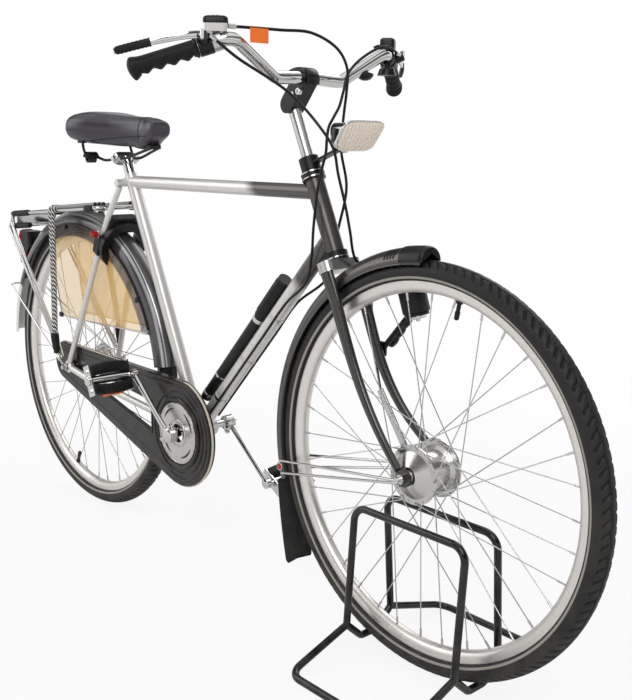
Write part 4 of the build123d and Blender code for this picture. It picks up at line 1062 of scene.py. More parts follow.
@dataclass
class Saddle:
    """Padded saddle on its wire springs."""

    places: tuple[float, ...] = (323.0, 320.0, 300.0, 276.0, 230.0, 190.0, 160.0, 130.0, 108.0, 88.0, 70.0, 63.0)
    widths: tuple[float, ...] = (44.0, 50.0, 55.0, 58.0, 74.0, 102.0, 132.0, 162.0, 176.0, 182.0, 180.0, 170.0)
    tops: tuple[float, ...] = (922.0, 925.0, 928.0, 930.0, 933.0, 936.0, 939.0, 942.0, 944.5, 946.5, 945.0, 941.0)
    lows: tuple[float, ...] = (897.0, 893.0, 883.0, 870.0, 875.0, 876.0, 878.0, 880.0, 881.0, 882.0, 883.0, 886.0)
    voxel: float = 0.0045
    swell: float = 0.0035
    pressure: float = 4.0
    stiffness: float = 30.0
    bending: float = 4.0
    cloth_steps: int = 20
    coil: Triple = (104.0, 46.0, 848.0)
    coil_half: float = 12.0
    coil_r: float = 10.0
    wire_r: float = 2.6
    rail_r: float = 3.12
    turns: float = 4.5
    nose: Triple = (292.0, 9.0, 868.5)
    clamp: Triple = (173.5, 0.0, 846.0)
    clamp_rows: Rows = ((-26, 8), (-25, 12), (-17, 14.5), (-16, 14.8), (16, 14.8), (17, 14.5), (25, 12), (26, 8))
    bolt_rows: Rows = ((-33, 6.5), (-26.5, 6.5), (-26, 4), (26, 4), (26.5, 7.5), (33, 7.5))
    plate_rows: Rows = ((0.9, -5.0), (1.0, -4.0), (1.0, 4.0), (0.9, 5.0))
    side_power: float = 0.52
    top_power: float = 0.66
    low_power: float = 0.5
    waist: float = 0.42
    tuck: float = 0.08
    seam_x: float = 271.0
    seam_r: float = 0.9

    def form(self) -> Array:
        """Pad before it is filled: power-curve sections, flat below and crowned above, carried along X."""
        table = np.stack((self.places, self.widths, self.tops, self.lows), axis=1)
        x, width, top, low = smooth(table, 90).T[..., None]
        across, rise = ring(56).T
        side = np.sign(across) * np.abs(across) ** self.side_power
        up = np.sign(rise) * np.abs(rise) ** np.where(rise > 0, self.top_power, self.low_power)
        waist = low + self.waist * (top - low)
        z = waist + up * np.where(up > 0, top - waist, waist - low)
        return place(x, side * width / 2 * (1.0 + self.tuck * np.minimum(up, 0.0)), z)

    def pad(self, paints: Paints) -> Piece:
        """Padded top: the form is remeshed and blown up as cloth, with the swelling held to a few millimetres."""
        shell = Shell("saddle_pad").grid(self.form())
        piece = shell.build("frame", "saddle_cover", [paints.cover], "saddle", crease=180)
        self.fill(piece)
        return piece

    def fill(self, piece: Piece) -> None:
        """Voxel remesh, steps of cloth under pressure, displacement cap, then one subdivision.

        Args:
            piece: The pad, changed in place.
        """
        remesh = piece.modifiers.new("voxels", "REMESH")
        remesh.mode = "VOXEL"
        remesh.voxel_size = self.voxel
        bpy.context.view_layer.objects.active = piece
        bpy.ops.object.modifier_apply(modifier=remesh.name)
        rest = np.empty(3 * len(piece.data.vertices), np.float32)
        piece.data.vertices.foreach_get("co", rest)
        rest = rest.reshape(-1, 3)
        cloth = piece.modifiers.new("filling", "CLOTH")
        settings = cloth.settings
        settings.use_pressure = True
        settings.uniform_pressure_force = self.pressure
        settings.effector_weights.gravity = 0.0
        settings.tension_stiffness = self.stiffness
        settings.compression_stiffness = self.stiffness
        settings.bending_stiffness = self.bending
        scene = bpy.context.scene
        for step in range(self.cloth_steps):
            scene.frame_set(step + 1)
        shown = piece.evaluated_get(bpy.context.evaluated_depsgraph_get())
        moved = np.empty_like(rest).ravel()
        shown.data.vertices.foreach_get("co", moved)
        shift = moved.reshape(-1, 3) - rest
        size = np.linalg.norm(shift, axis=1, keepdims=True)
        shift *= np.minimum(1.0, self.swell / np.maximum(size, 1e-9))
        piece.modifiers.remove(cloth)
        scene.frame_set(1)
        piece.data.vertices.foreach_set("co", (rest + shift).ravel().astype(np.float32))
        fine = piece.modifiers.new("smooth skin", "SUBSURF")
        fine.levels = fine.render_levels = 1
        bpy.ops.object.modifier_apply(modifier=fine.name)
        piece.data.polygons.foreach_set("use_smooth", np.ones(len(piece.data.polygons), bool))

    def seams(self, pad: Piece, paints: Paints) -> None:
        """Stitched seams: thin welts laid on the pad's own skin, found from outside it at each point.

        Args:
            pad: The finished pad.
            paints: Finishes.
        """
        tree = BVHTree.FromObject(pad, bpy.context.evaluated_depsgraph_get())
        a = np.radians(np.linspace(-28.0, 208.0, 70))
        nose = place(self.seam_x, 90 * np.cos(a), 895 + 90 * np.sin(a))
        x = np.linspace(86.0, 300.0, 90)
        paths = [nose] + [place(x, side * 140.0, 866.0 + 0.00009 * (x - 200.0) ** 2) for side in SIDES]
        shell = Shell("saddle_seams")
        for path in paths:
            middle = place(path[:, 0] / MM + ORIGIN_X, 0.0, 900.0)
            hits = [tree.ray_cast(p.tolist(), (c - p).tolist())[0] for p, c in zip(path, middle)]
            found = np.array([tuple(h) for h in hits if h is not None])
            if len(found) > 5:
                shell.grid(tube(smooth(found[::2], len(found)), self.seam_r, 8))
        shell.build("frame", "saddle_cover", [paints.rubber])

    def springs(self, paints: Paints) -> None:
        """Wire springs: helix coils across the saddle with rails to the clamp and nose, and risers to the pad."""
        shell = Shell("saddle_springs")
        (cx, cy, cz), half, (grip_x, _, grip_z) = self.coil, self.coil_half, self.clamp
        rail = ((cx + 10, cy - half, cz), (140, 30, cz - 6), (grip_x, 20, grip_z), (210, 17, grip_z + 2),
                (258, 13, 860), self.nose)
        riser = ((cx + 10, cy + half, cz), (104, 61, 858), (97, 61, 872), (93, 60, 886))
        a = np.linspace(0.0, 2 * pi * self.turns, 220)
        run = np.linspace(-half, half, len(a))
        for side in SIDES:
            helix = place(cx + self.coil_r * np.cos(a), side * (cy + run), cz + self.coil_r * np.sin(a))
            shell.grid(tube(helix, self.wire_r, 8))
            for wire, count in ((rail, 80), (riser, 30)):
                path = place(*(np.array(wire, float) * (1, side, 1)).T)
                shell.grid(tube(smooth(path, count), self.rail_r, 10))
        shell.build("frame", "spring_steel", [paints.spring], "saddle_frame")

    def plates(self, paints: Paints) -> None:
        """Clamp with its bolt, the nose plate, and the pressed ribs that hold the risers."""
        middle = place(*self.clamp)
        shell = Shell("saddle_clamp").grid(turn(self.clamp_rows, middle, LEFT, 36))
        shell.grid(turn(self.bolt_rows, middle, LEFT, 6), part=1)
        shell.build("frame", "bright_steel", [paints.alloy, paints.chrome], crease=30)
        plate = Shell("saddle_base_plates")
        plate.grid(stack(self.plate_rows, rounded(7, 15, 5, 28), place(292, 0, 872), AHEAD, LEFT, UP))
        for side in SIDES:
            plate.grid(stack(self.plate_rows, rounded(12, 7, 5, 28), place(92, side * 60, 884), AHEAD, LEFT, UP))
        plate.build("frame", "spring_steel", [paints.spring])

    def build(self, paints: Paints, dressing: Dressing) -> None:
        """Make the pad with its seams, the springs and the plates."""
        pad = self.pad(paints)
        self.seams(pad, paints)
        self.springs(paints)
        self.plates(paints)


@dataclass
class Drive:
    """Cranks, pedals and chain case."""

    case_front: float = 114.0
    case_tail: float = 46.0
    tail_at: Pair = (-42.0, 356.0)
    case_in: float = 42.0
    case_out: float = 55.5
    window: Rows = ((345.0, 258.5), (345.0, 332.5), (58.0, 359.0), (58.0, 327.0))
    disc_r: float = 66.0
    crank_len: float = 170.0
    crank_deg: float = 140.4
    crank_y: float = 80.0
    crank_t: float = 12.0
    pedal_y: float = 140.0
    pedal_len: float = 96.0
    pedal_deep: float = 66.0
    pedal_high: float = 30.0
    rubber_deep: float = 24.0
    tilts: Pair = (-67.0, -30.0)
    ridge_pitch: float = 8.0
    mark_r: float = 53.0
    lamp_rows: Rows = ((0.9, -2.5), (1.0, -2.0), (1.0, 0.4), (0.93, 1.2))
    boss_rows: Rows = ((-21, 13), (-20, 15.5), (-1.5, 16.5), (0, 15), (2, 9), (2.2, 0.1))
    eye_rows: Rows = ((-13, 9), (-12, 10.5), (-1, 10.5), (0, 9.5), (0.2, 0.1))
    cotter_rows: Rows = ((-23, 3.4), (-22.6, 4.6), (19, 4.6), (19.2, 6.8), (24, 6.8), (24.2, 3.6), (29, 3.4))

    def case_loop(self, grow: float, y: float) -> Array:
        """Loop round the case, grown by some mm, in an upright plane."""
        return belt((BB_X, BB_Z), self.case_front + grow, self.tail_at, self.case_tail + grow, 60, y)

    def case_trim(self, paints: Paints) -> None:
        """Rounded edges, pale seam and raised ribs of the case: tubes along loops round its two circles."""
        out = -self.case_out
        edges = Shell("chain_case_edges")
        for grow, y in ((-2.4, out + 1.6), (-2.4, -self.case_in - 1.6), (-13.0, out + 0.6)):
            edges.hoop(self.case_loop(grow, y), 2.6, 12)
        for radius, size in ((self.disc_r + 7.0, 5.0), (self.disc_r + 22.0, 2.4)):
            edges.hoop(arc((BB_X, BB_Z), radius, 0.0, 357.5, 144, out), size, 12)
        corner = np.array(self.window)
        share = np.linspace(0.0, 1.0, 50, endpoint=False)[:, None]
        line = (corner[:, None] + share * (np.roll(corner, -1, axis=0) - corner)[:, None]).reshape(-1, 2)
        edges.hoop(place(line[:, 0], out + 0.4, line[:, 1]), 2.4)
        edges.build("frame", "case_plastic", [paints.case])
        seam = carry(self.case_loop(1.6, out + 5.4), MM * slab(4.4, 3.4), closed=True)
        Shell("chain_case_seam").grid(seam, Ends.JOINED).build("frame", "white_plastic", [paints.cream])

    def disc_marks(self, paints: Paints) -> None:
        """Dark crescents pressed in the disc, rivets between them, and bright rings at its hub and edge."""
        marks, rivets = Shell("case_disc_crescents"), Shell("case_disc_rivets")
        middle, out = (BB_X, BB_Z), -self.case_out - 2.5
        swell = np.sin(np.linspace(0.15, pi - 0.15, 28)) ** 0.7
        for start in (0.0, 90.0, 180.0, 270.0):
            path = arc(middle, self.mark_r, start + 12.0, start + 62.0, 28, out - 0.2)
            marks.grid(ribbon(path, LEFT, 0.9, 4.6 * swell))
            spot = arc(middle, self.mark_r, start - 8.0, start - 8.0, 1, out + 0.1)[0]
            rivets.grid(turn(button(2.6, 1.4), spot, -LEFT, 16))
        marks.build("frame", "case_plastic", [paints.case])
        rivets.hoop(arc(middle, 29.0, 0.0, 355.0, 72, out), 2.2)
        rivets.hoop(arc(middle, 64.6, 0.0, 357.0, 120, out), 1.4)
        rivets.build("frame", "alloy", [paints.alloy])

    def eye(self, side: float) -> Pair:
        """Forward and up place of a pedal's axle."""
        a = radians(self.crank_deg)
        return (BB_X - side * self.crank_len * cos(a), BB_Z - side * self.crank_len * sin(a))

    def crank_details(self, paints: Paints) -> None:
        """Cranks: slim waisted arms on turned bosses, with the spindle, the pedal axles and cotter pins."""
        shell = Shell("crank_arms")
        a = radians(self.crank_deg)
        share = np.linspace(0.02, 0.98, 60)
        wide, deep = 11.6 - 2.2 * share, 19.0 - 6.5 * np.sin(pi * share) ** 0.5 - 2.0 * share
        for side in SIDES:
            x, z = self.eye(side)
            face = side * (self.crank_y + self.crank_t / 2)
            shell.grid(turn(self.boss_rows, place(BB_X, face, BB_Z), side * LEFT, 36))
            shell.grid(turn(self.eye_rows, place(x, face, z), side * LEFT, 28))
            arm = place(BB_X + share * (x - BB_X), side * self.crank_y, BB_Z + share * (z - BB_Z))
            shell.grid(ribbon(arm, LEFT, wide, deep, 0.4, 20))
            axle = place(x, side * np.linspace(self.crank_y, self.pedal_y + 44, 12), z)
            shell.grid(tube(axle, 5.8, 16))
            foot = place(BB_X - side * 8.0 * cos(a), side * self.crank_y, BB_Z - side * 8.0 * sin(a))
            shell.grid(turn(self.cotter_rows, foot, vec(-sin(a), 0.0, cos(a)), 14))
        shell.grid(tube(place(BB_X, np.linspace(-self.crank_y, self.crank_y, 12), BB_Z), 8.5, 24))
        shell.build("crankset", "bright_steel", [paints.chrome], "cranks")

    def pedals(self, paints: Paints) -> None:
        """Pedal rubbers: soft oblongs along the axle with a row of cross ribs, reflectors and end caps."""
        half = self.pedal_len / 2 - 3.4
        s = np.linspace(-half, half, 150)
        ridge = 1.0 - 0.075 * (np.sin(2 * pi * s / self.ridge_pitch) > 0.55) - 0.03 * (np.abs(s) > half - 1.2)
        block = np.stack((ridge, s), axis=1)
        bow = MM * 5.0 * (0.6 - (s / half) ** 2)[:, None, None]
        oblong = rounded(self.rubber_deep / 2, self.pedal_high / 2, 3.6, 32)
        for side, name, tilt in ((-1.0, "right", self.tilts[0]), (1.0, "left", self.tilts[1])):
            t = radians(tilt)
            flat, up = vec(cos(t), 0, sin(t)), vec(-sin(t), 0, cos(t))
            x, z = self.eye(side)
            middle = place(x, side * self.pedal_y, z)
            end = place(x, side * (self.pedal_y + self.pedal_len / 2), z)
            rubbers, lamps, caps = (Shell(f"pedal_{name}_{kind}") for kind in ("blocks", "reflectors", "caps"))
            caps.grid(turn(button(10.5, 6.0, 0.5), end, side * LEFT, 28))
            for way in SIDES:
                centre = middle + MM * flat * way * (self.pedal_deep - self.rubber_deep) / 2
                rubbers.grid(stack(block, oblong, centre, flat, up, LEFT) + bow * flat * way)
                caps.grid(turn(button(4.6, 3.0), end + MM * flat * way * 21.0, side * LEFT, 6))
            face = middle + MM * flat * (self.pedal_deep / 2 + 2.6)
            lamps.grid(stack(self.lamp_rows, rounded(24, 8.0, 6, 32), face, LEFT, up, flat))
            rubbers.build(f"pedal_{name}", "black_rubber", [paints.rubber], f"pedal_{name}_rubbers", crease=30)
            lamps.build(f"pedal_{name}", "amber_sheet", [paints.orange])
            caps.build(f"pedal_{name}", "bright_steel", [paints.chrome])

    def build(self, paints: Paints, dressing: Dressing) -> None:
        """Dress the drive and add its trim."""
        dressing.dress(paints.chrome, "pedal_right_cage", "pedal_left_cage")
        dressing.dress(paints.case, "chain_case")
        dressing.dress(paints.alloy, "chain_case_disc")
        self.case_trim(paints)
        self.disc_marks(paints)
        self.crank_details(paints)
        self.pedals(paints)


@dataclass
class RearEnd:
    """Rear mudguard, coat guards, carrier, lamp and lock."""

    guard_at: Pair = (-15.1, 350.0)
    guard_r: float = 372.9
    guard_half: float = 30.0
    coat_y: float = 31.5
    coat_r: float = 342.9
    coat_low: Pair = (-95.0, 458.0)
    coat_span: Pair = (20.0, 112.0)
    clip_rows: Rows = ((0.9, -0.2), (1.0, 0.4), (1.0, 3.4), (0.86, 4.4))
    strap_x: float = -58.0
    strap_end: float = 134.0
    cords: Rows = ((-8.2, 0.0), (0.0, 3.2), (8.2, 0.0))
    lanes: Triple = (35.0, 46.0, 57.0)
    sleeve_rows: Rows = ((-8, 6.0), (-7, 9.2), (0, 10.0), (12, 9.6), (34, 7.2), (41, 6.4), (43, 4.0))
    hook_at: Triple = (-26.0, 88.0, 424.0)
    eye_at: Triple = (0.0, 83.3, 357.8)
    deck_rear: Pair = (-287.1, 700.9)
    deck_front: Pair = (138.0, 736.9)
    deck_half: float = 58.0
    pads: Triples = ((-284.0, -190.0, 0.0), (-284.0, -190.0, -31.0), (92.0, 128.0, 0.0))
    lens_at: Triple = (-329.0, 0.0, 612.0)
    lock_at: Pair = (66.2, 336.0)
    lock_rows: Rows = ((0.86, -11.0), (1.0, -9.5), (1.0, 9.5), (0.86, 11.0))
    crown_rows: Rows = ((0.9, -13.0), (1.0, -11.0), (1.0, 11.0), (0.9, 13.0))
    cylinder_rows: Rows = ((0, 8.0), (1.5, 8.4), (3.0, 7.0), (3.2, 0.2))
    key_rows: Rows = ((0.8, 3.0), (1.0, 4.0), (1.0, 16.0), (0.8, 18.0))
    bolts: Rows = ((-24.0, 374.0), (-11.0, 374.0))

    def deck(self, x: Number, y: Number = 0.0, lift: Number = 0.0) -> Array:
        """Point on the carrier's deck plane, x mm forward of the rear axle and lifted above it."""
        slope = (self.deck_front[1] - self.deck_rear[1]) / (self.deck_front[0] - self.deck_rear[0])
        return place(x, y, self.deck_rear[1] + slope * (np.asarray(x, float) - self.deck_rear[0]) + lift)

    def guard_edges(self, paints: Paints) -> None:
        """Rolled edges of the mudguard, as thin tubes along arcs."""
        edges = Shell("rear_guard_edges")
        for side in SIDES:
            path = arc(self.guard_at, self.guard_r - 33.5, 20.0, 150.0, 120, side * (self.guard_half - 0.6))
            edges.grid(tube(path, 1.6, 8))
        edges.build("frame", "dark_paint", [paints.guard])

    def coat_edge(self, degrees: float, inset: float = 0.0) -> Pair:
        """Forward and up place at an angle on the round edge of the coat guards, or inset from it, in mm."""
        a, r = radians(degrees), self.coat_r - inset
        return self.guard_at[0] + r * cos(a), self.guard_at[1] + r * sin(a)

    def coat_details(self, paints: Paints) -> None:
        """Coat guard fittings: rods along the two straight edges, beading along the round one, and clips."""
        rods, clips, beads = (Shell(f"coat_guard_{kind}") for kind in ("rods", "clips", "beads"))
        x0, z0 = self.coat_low
        first, last = self.coat_span
        (fx, fz), (bx, bz) = self.coat_edge(first), self.coat_edge(last)
        edges = (((x0 + 6, z0 + 2), (x0 + 150, z0 + 4), (fx - 6, fz + 4)),
                 ((x0 + 3, z0 + 6), ((x0 + bx) / 2 + 2, (z0 + bz) / 2), (bx + 4, bz - 8)))
        for side in SIDES:
            y = side * (self.coat_y + 1.4)
            for edge in edges:
                rods.grid(tube(smooth([place(x, y, z) for x, z in edge], 40), 1.6, 8))
            beads.grid(ribbon(arc(self.guard_at, self.coat_r - 3.0, first + 2, last - 2, 90, y), LEFT, 1.6, 5.0))
            y = side * (self.coat_y - 0.2)
            for share in (0.16, 0.5, 0.84):
                x, z = self.coat_edge(first + share * (last - first), 9.0)
                clips.grid(turn(button(6.5, 4.0), place(x, y, z), side * LEFT, 20))
            low = place(x0 + 1, y, z0 + 4)
            clips.grid(stack(self.clip_rows, rounded(9.0, 6.0, 5, 24), low, AHEAD, UP, side * LEFT))
        rods.build("frame", "bright_steel", [paints.chrome])
        clips.build("frame", "black_plastic", [paints.plastic])
        beads.build("frame", "black_plastic", [paints.plastic])

    def straps(self, paints: Paints) -> None:
        """Carrier straps: three striped cords each side that gather in a sleeve, and run forward on the deck."""
        bands, sleeves, hooks = (Shell(f"carrier_strap_{kind}") for kind in ("bands", "sleeves", "hooks"))
        (hx, hy, hz), (ex, ey, ez) = self.hook_at, self.eye_at
        gather = np.linspace(1.0, 0.55, 120)[:, None]
        deck_x = np.linspace(self.strap_x - 10, self.strap_end, 60)
        for side in SIDES:
            hook = place(hx, side * hy, hz)
            top = self.deck(self.strap_x, side * (self.deck_half + 6.6), 4.0)
            low = place(hx, side * (hy - 0.5), hz + 6)
            fall = low - top
            drop = smooth([self.deck(self.strap_x - 4, side * 40, 9.4), self.deck(self.strap_x - 2, side * 56, 9.2),
                           top, top + 0.12 * fall + MM * 0.6 * side * LEFT, top + 0.55 * fall, low], 120)
            for ahead, away in self.cords:
                bands.grid(tube(drop + MM * gather * vec(ahead, side * away, 0), 4.6, 14))
            for lane in self.lanes:
                bands.grid(tube(self.deck(deck_x, side * lane, 8.6), 4.2, 14))
            run = unit(place(hx + 4, side * (hy - 1), hz - 42) - hook)
            sleeves.grid(turn(self.sleeve_rows, hook, run, 24))
            wire = smooth([hook + 36.0 * MM * run, place(hx + 12, side * (hy - 2), hz - 52),
                           place(ex - 3, side * (ey + 1.5), ez + 4), place(ex + 2, side * ey, ez)], 30)
            hooks.grid(tube(wire, 2.6, 10))
        bands.build("frame", "webbing", [paints.webbing], "carrier_straps")
        sleeves.build("frame", "black_rubber", [paints.rubber])
        hooks.build("frame", "bright_steel", [paints.chrome])

    def deck_pads(self, paints: Paints) -> None:
        """Black pads on the ends of the deck's tubes, thinner at both ends."""
        shell = Shell("carrier_pads")
        r = 7.6 - 1.6 * np.abs(np.linspace(-1, 1, 40)) ** 8
        for side in SIDES:
            for first, last, lift in self.pads:
                shell.grid(tube(self.deck(np.linspace(first, last, 40), side * self.deck_half, lift), r, 16))
        shell.build("frame", "black_rubber", [paints.rubber])

    def lamp(self, paints: Paints) -> None:
        """Tail lamp trim: a rim round the lens and ribs across it."""
        x, _, z = self.lens_at
        edge = rounded(21.6, 42.6, 5, 48)
        Shell("tail_lamp_trim").hoop(place(x - 2.0, edge[:, 0], z + edge[:, 1]), 1.9).build(
            "frame", "black_plastic", [paints.plastic])
        ribs = Shell("tail_lamp_ribs")
        for up in np.linspace(-27.0, 27.0, 7):
            ribs.grid(tube(place(x - 4.3, np.linspace(-18, 18, 20), z + up), 1.2, 8))
        ribs.build("frame", "red_lens", [paints.red])

    def lock_details(self, paints: Paints) -> None:
        """Ring lock trim: a block on each side of the ring, a tapered crown over it, and a cylinder with its key."""
        a, reach = radians(self.lock_at[0]), self.lock_at[1]
        out, along = vec(cos(a), 0, sin(a)), vec(-sin(a), 0, cos(a))
        middle = place(reach * cos(a), 0, AXLE_Z + reach * sin(a))
        body = Shell("ring_lock_body")
        for side in SIDES:
            spot = middle + MM * (50.0 * side * LEFT - 4.0 * out)
            body.grid(stack(self.lock_rows, rounded(24, 9.0, 5, 32), spot, out, LEFT, along))
        shape = rounded(18.0, 46.0, 7, 40)
        shape[:, 1] *= 1.0 - 0.2 * (shape[:, 0] / 18.0 + 1.0) / 2
        body.grid(stack(self.crown_rows, shape, middle + MM * 47.0 * out, out, LEFT, along))
        body.build("frame", "black_plastic", [paints.plastic])
        foot = middle + MM * (24.0 * out - 58.5 * LEFT)
        key = Shell("ring_lock_key").grid(turn(self.cylinder_rows, foot, -LEFT, 24))
        key.grid(stack(self.key_rows, rounded(5.0, 10.0, 3, 24), foot, out, along, -LEFT), part=1)
        key.build("frame", "bright_steel", [paints.chrome, paints.red])

    def eye_bolts(self, paints: Paints) -> None:
        """Bolts where the stays and legs meet the axle, as six-sided turned heads."""
        shell = Shell("rear_eye_bolts")
        for side in SIDES:
            for x, z in self.bolts:
                shell.grid(turn(button(5.0, 4.0), place(x, side * 79.5, z), side * LEFT, 6))
        shell.build("frame", "bright_steel", [paints.chrome], crease=25)

    def build(self, paints: Paints, dressing: Dressing) -> None:
        """Dress the rear end and add its fittings."""
        dressing.dress(paints.guard, "rear_mudguard")
        dressing.dress(paints.white, "rear_mudguard_tail")
        dressing.dress(paints.amber, "coat_guards")
        dressing.dress(paints.plastic, "tail_lamp", "ring_lock")
        dressing.dress(paints.red, "tail_lens")
        dressing.dress(paints.chrome, "carrier_deck", "carrier_legs", "rear_guard_stay")
        self.guard_edges(paints)
        self.coat_details(paints)
        self.straps(paints)
        self.deck_pads(paints)
        self.lamp(paints)
        self.lock_details(paints)
        self.eye_bolts(paints)


@dataclass
class Cockpit:
    """Handlebar with grips, levers, shifter, stem fittings and cables."""

    clamp_at: Pair = (782.0, 993.0)
    grip_start: Triple = (-12.4, 220.8, 35.3)
    grip_run: Triple = (-0.581, 0.756, -0.299)
    grip_len: float = 118.0
    grip_r: float = 15.5
    pivot: Triple = (13.6, 231.0, 51.6)
    lever_way: Triples = ((-1.0, 237.0, 52.5), (-20.0, 254.0, 49.5), (-46.0, 294.0, 39.0))
    lever_tip: Triple = (-86.0, 331.0, 26.0)
    pod_at: Triple = (2.0, -196.0, 70.0)
    pod_rows: Rows = ((1.02, 2.0), (1.1, 2.8), (1.1, 9.0), (1.0, 12.0), (0.8, 13.6), (0.4, 14.2))
    paddle: Triples = ((10, 0, -2), (24, 3, 2), (36, 6, 10))
    cable_r: float = 2.5
    brake_route: Triples = (
        (16.5, -218.5, 52.5), (31, -180, 22), (59, -90, -32), (103, -58, -89), (130, -54, -123), (127, -40, -163),
        (131, -25, -219), (126, -10, -257), (116, 14, -308))
    brake_drop: Triples = (
        (335, 26, 34), (308, 16, 44), (270, 2, 46), (230, -14, 46), (190, -20, 45), (155, -26, 43), (127, -28, 40.5))
    gear_route: Triples = (
        (14.4, -181.2, 69), (51, -105, 66.6), (66.5, -45, 65), (84, -5, 42), (80, 22, 12), (68, 33, -24), (62, 33, -62),
        (56, 33, -120))
    left_route: Triples = (
        (15.8, 219.5, 52.1), (30, 165, 62), (30, 110, 40), (41, 62, 8), (59, 34, -24), (71, 13, -51), (78, -6, -69),
        (82, -21, -86), (82, -25, -106), (81, -26, -128), (75, -30, -158))
    neck: Triples = ((483, 37, 34), (423, -7, 30), (390, -30, 26), (350, -64, 24))
    run_s: Pair = (430.0, 60.0)
    run_y: float = 15.0
    run_up: float = -10.5
    bend: Pair = (540.0, 475.0)
    tag_at: Triple = (46.0, -142.0, 55.0)
    pin_rows: Rows = ((-9, 2.6), (-8.4, 3.3), (8.4, 3.3), (9, 2.6))
    bell_rows: Rows = ((0.9, -9.0), (1.0, -8.0), (1.0, 8.0), (0.94, 12.0), (0.7, 14.5), (0.3, 15.0))
    dome_rows: Rows = ((0, 6.0), (3, 15.0), (5, 15.4), (9, 14.0), (13, 10.0), (15, 5.0), (15.5, 0.1))
    stem_bolts: Triples = ((-2.0, -24.0, 6.2), (-17.0, -28.0, 4.2))
    cover_way: Rows = ((-34, 12.5), (-20, 15.5), (-4, 15.8), (10, 12), (18, 1.5), (17, -12))
    clip_places: Triple = (120.0, 250.0, 380.0)
    clip_rows: Rows = ((-4, 15.6), (-3.6, 16.4), (3.6, 16.4), (4, 15.6))
    ferrule_rows: Rows = ((0, 3.0), (0.6, 4.0), (13, 4.0), (14, 3.0))

    def hand(self, ahead: Number, y: Number, up: Number) -> Array:
        """Point counted from the middle of the bar clamp."""
        return place(self.clamp_at[0] + np.asarray(ahead, float), y, self.clamp_at[1] + np.asarray(up, float))

    def grips(self, paints: Paints) -> None:
        """Grips: radius = sleeve + flange + end bulb, plus four finger waves on the underside and fine ribs."""
        shell = Shell("grip_sleeves")
        s = np.linspace(0.0, self.grip_len, 170)
        share = s / self.grip_len
        a = np.linspace(0.0, 2 * pi, 48, endpoint=False)
        under = np.clip(np.cos(a), 0.0, 1.0) ** 1.5
        palm = (share > 0.08) * (share < 0.84)
        base = self.grip_r - 1.8 + 3.0 * np.exp(-(((s - 3.0) / 2.4) ** 2)) + 0.22 * np.sin(2 * pi * s / 2.6) * palm
        bulb = np.exp(-(((share - 0.93) / 0.08) ** 2))
        fingers = 2.4 * np.cos(2 * pi * (share * 5.2 + 0.08)) * palm + 5.0 * bulb
        closing = np.sqrt(np.clip(1.0 - np.clip((s - self.grip_len + 9.0) / 9.2, 0, 1) ** 2, 0.0, 1.0))
        r = ((base + 2.6 * bulb)[:, None] + fingers[:, None] * under[None]) * np.maximum(closing, 0.08)[:, None]
        for side in SIDES:
            run = unit(vec(self.grip_run[0], side * self.grip_run[1], self.grip_run[2]))
            low = unit(run * run[2] - UP)
            round_it = np.cos(a)[:, None] * low + np.sin(a)[:, None] * np.cross(run, low)
            start = self.hand(self.grip_start[0], side * self.grip_start[1], self.grip_start[2])
            shell.grid(start + MM * (s[:, None, None] * run + r[..., None] * round_it[None]))
        shell.build("front_end", "black_rubber", [paints.rubber], "grips", crease=60)

    def levers(self, paints: Paints) -> None:
        """Brake levers: flat blades along a bowed path, with waved sleeves on their tips and pivot screws."""
        blades, tips, screws = Shell("lever_blades"), Shell("lever_tips"), Shell("lever_pivots")
        share = np.linspace(0, 1, 90)
        along = np.linspace(0, 1, 32)
        wave = 1.0 + 0.06 * np.sin(18 * pi * along) - 0.4 * np.clip(7 * along - 6, 0, 1) ** 2
        for side in SIDES:
            way = np.array((self.pivot, *self.lever_way, self.lever_tip)) * (1, side, 1)
            path = smooth(self.hand(*way.T), 90)
            blades.grid(ribbon(path, UP, 13.0 - 3.0 * share, 4.6, 0.45))
            tips.grid(ribbon(path[-32:], UP, 13.4 * wave, 7.0 * wave, 0.45))
            screws.grid(turn(self.pin_rows, self.hand(*way[0]), UP, 20))
        blades.build("front_end", "bright_steel", [paints.chrome], "brake_levers")
        tips.build("front_end", "black_rubber", [paints.rubber])
        screws.build("front_end", "bright_steel", [paints.chrome])

    def shifter(self, paints: Paints) -> None:
        """Shifter cover with a bright window, and a thumb paddle that lies back towards the rider."""
        run = unit(vec(self.grip_run[0], -self.grip_run[1], 0))
        side = vec(-run[1], run[0], 0)
        middle = self.hand(*self.pod_at)
        cover = Shell("shifter_cover").grid(stack(self.pod_rows, rounded(18.5, 16, 6, 40), middle, run, side, UP))
        way = [middle + MM * (ahead * run - back * side - down * UP) for back, ahead, down in self.paddle]
        cover.grid(ribbon(smooth(way, 24), run, np.linspace(12, 17, 24), np.linspace(6, 4, 24), 0.45))
        cover.build("front_end", "black_plastic", [paints.plastic])
        Shell("shifter_window").grid(turn(button(7.5, 1.8), middle + MM * UP * 13.4, UP, 24)).build(
            "front_end", "alloy", [paints.alloy])

    def bell(self, paints: Paints) -> None:
        """Bell cover and striker on the left, and a small dome under the bar: stacked and turned soft forms."""
        run = unit(vec(self.grip_run[0], self.grip_run[1], 0))
        side = vec(-run[1], run[0], 0)
        middle = self.hand(self.pod_at[0] + 5.0, -self.pod_at[1], self.pod_at[2] - 4.0)
        cover = Shell("bell_cover").grid(stack(self.bell_rows, rounded(17, 14, 5, 32), middle, run, side, UP))
        thumb = smooth([middle + MM * (side * out + UP * up) for out, up in ((10, 0), (18, 1), (26, -2))], 24)
        cover.grid(ribbon(thumb, run, np.linspace(9, 13, 24), np.linspace(5, 3.4, 24), 0.45))
        cover.grid(turn(self.dome_rows, self.hand(15.0, 130.0, 16.0), -UP, 32))
        cover.build("front_end", "black_plastic", [paints.plastic])

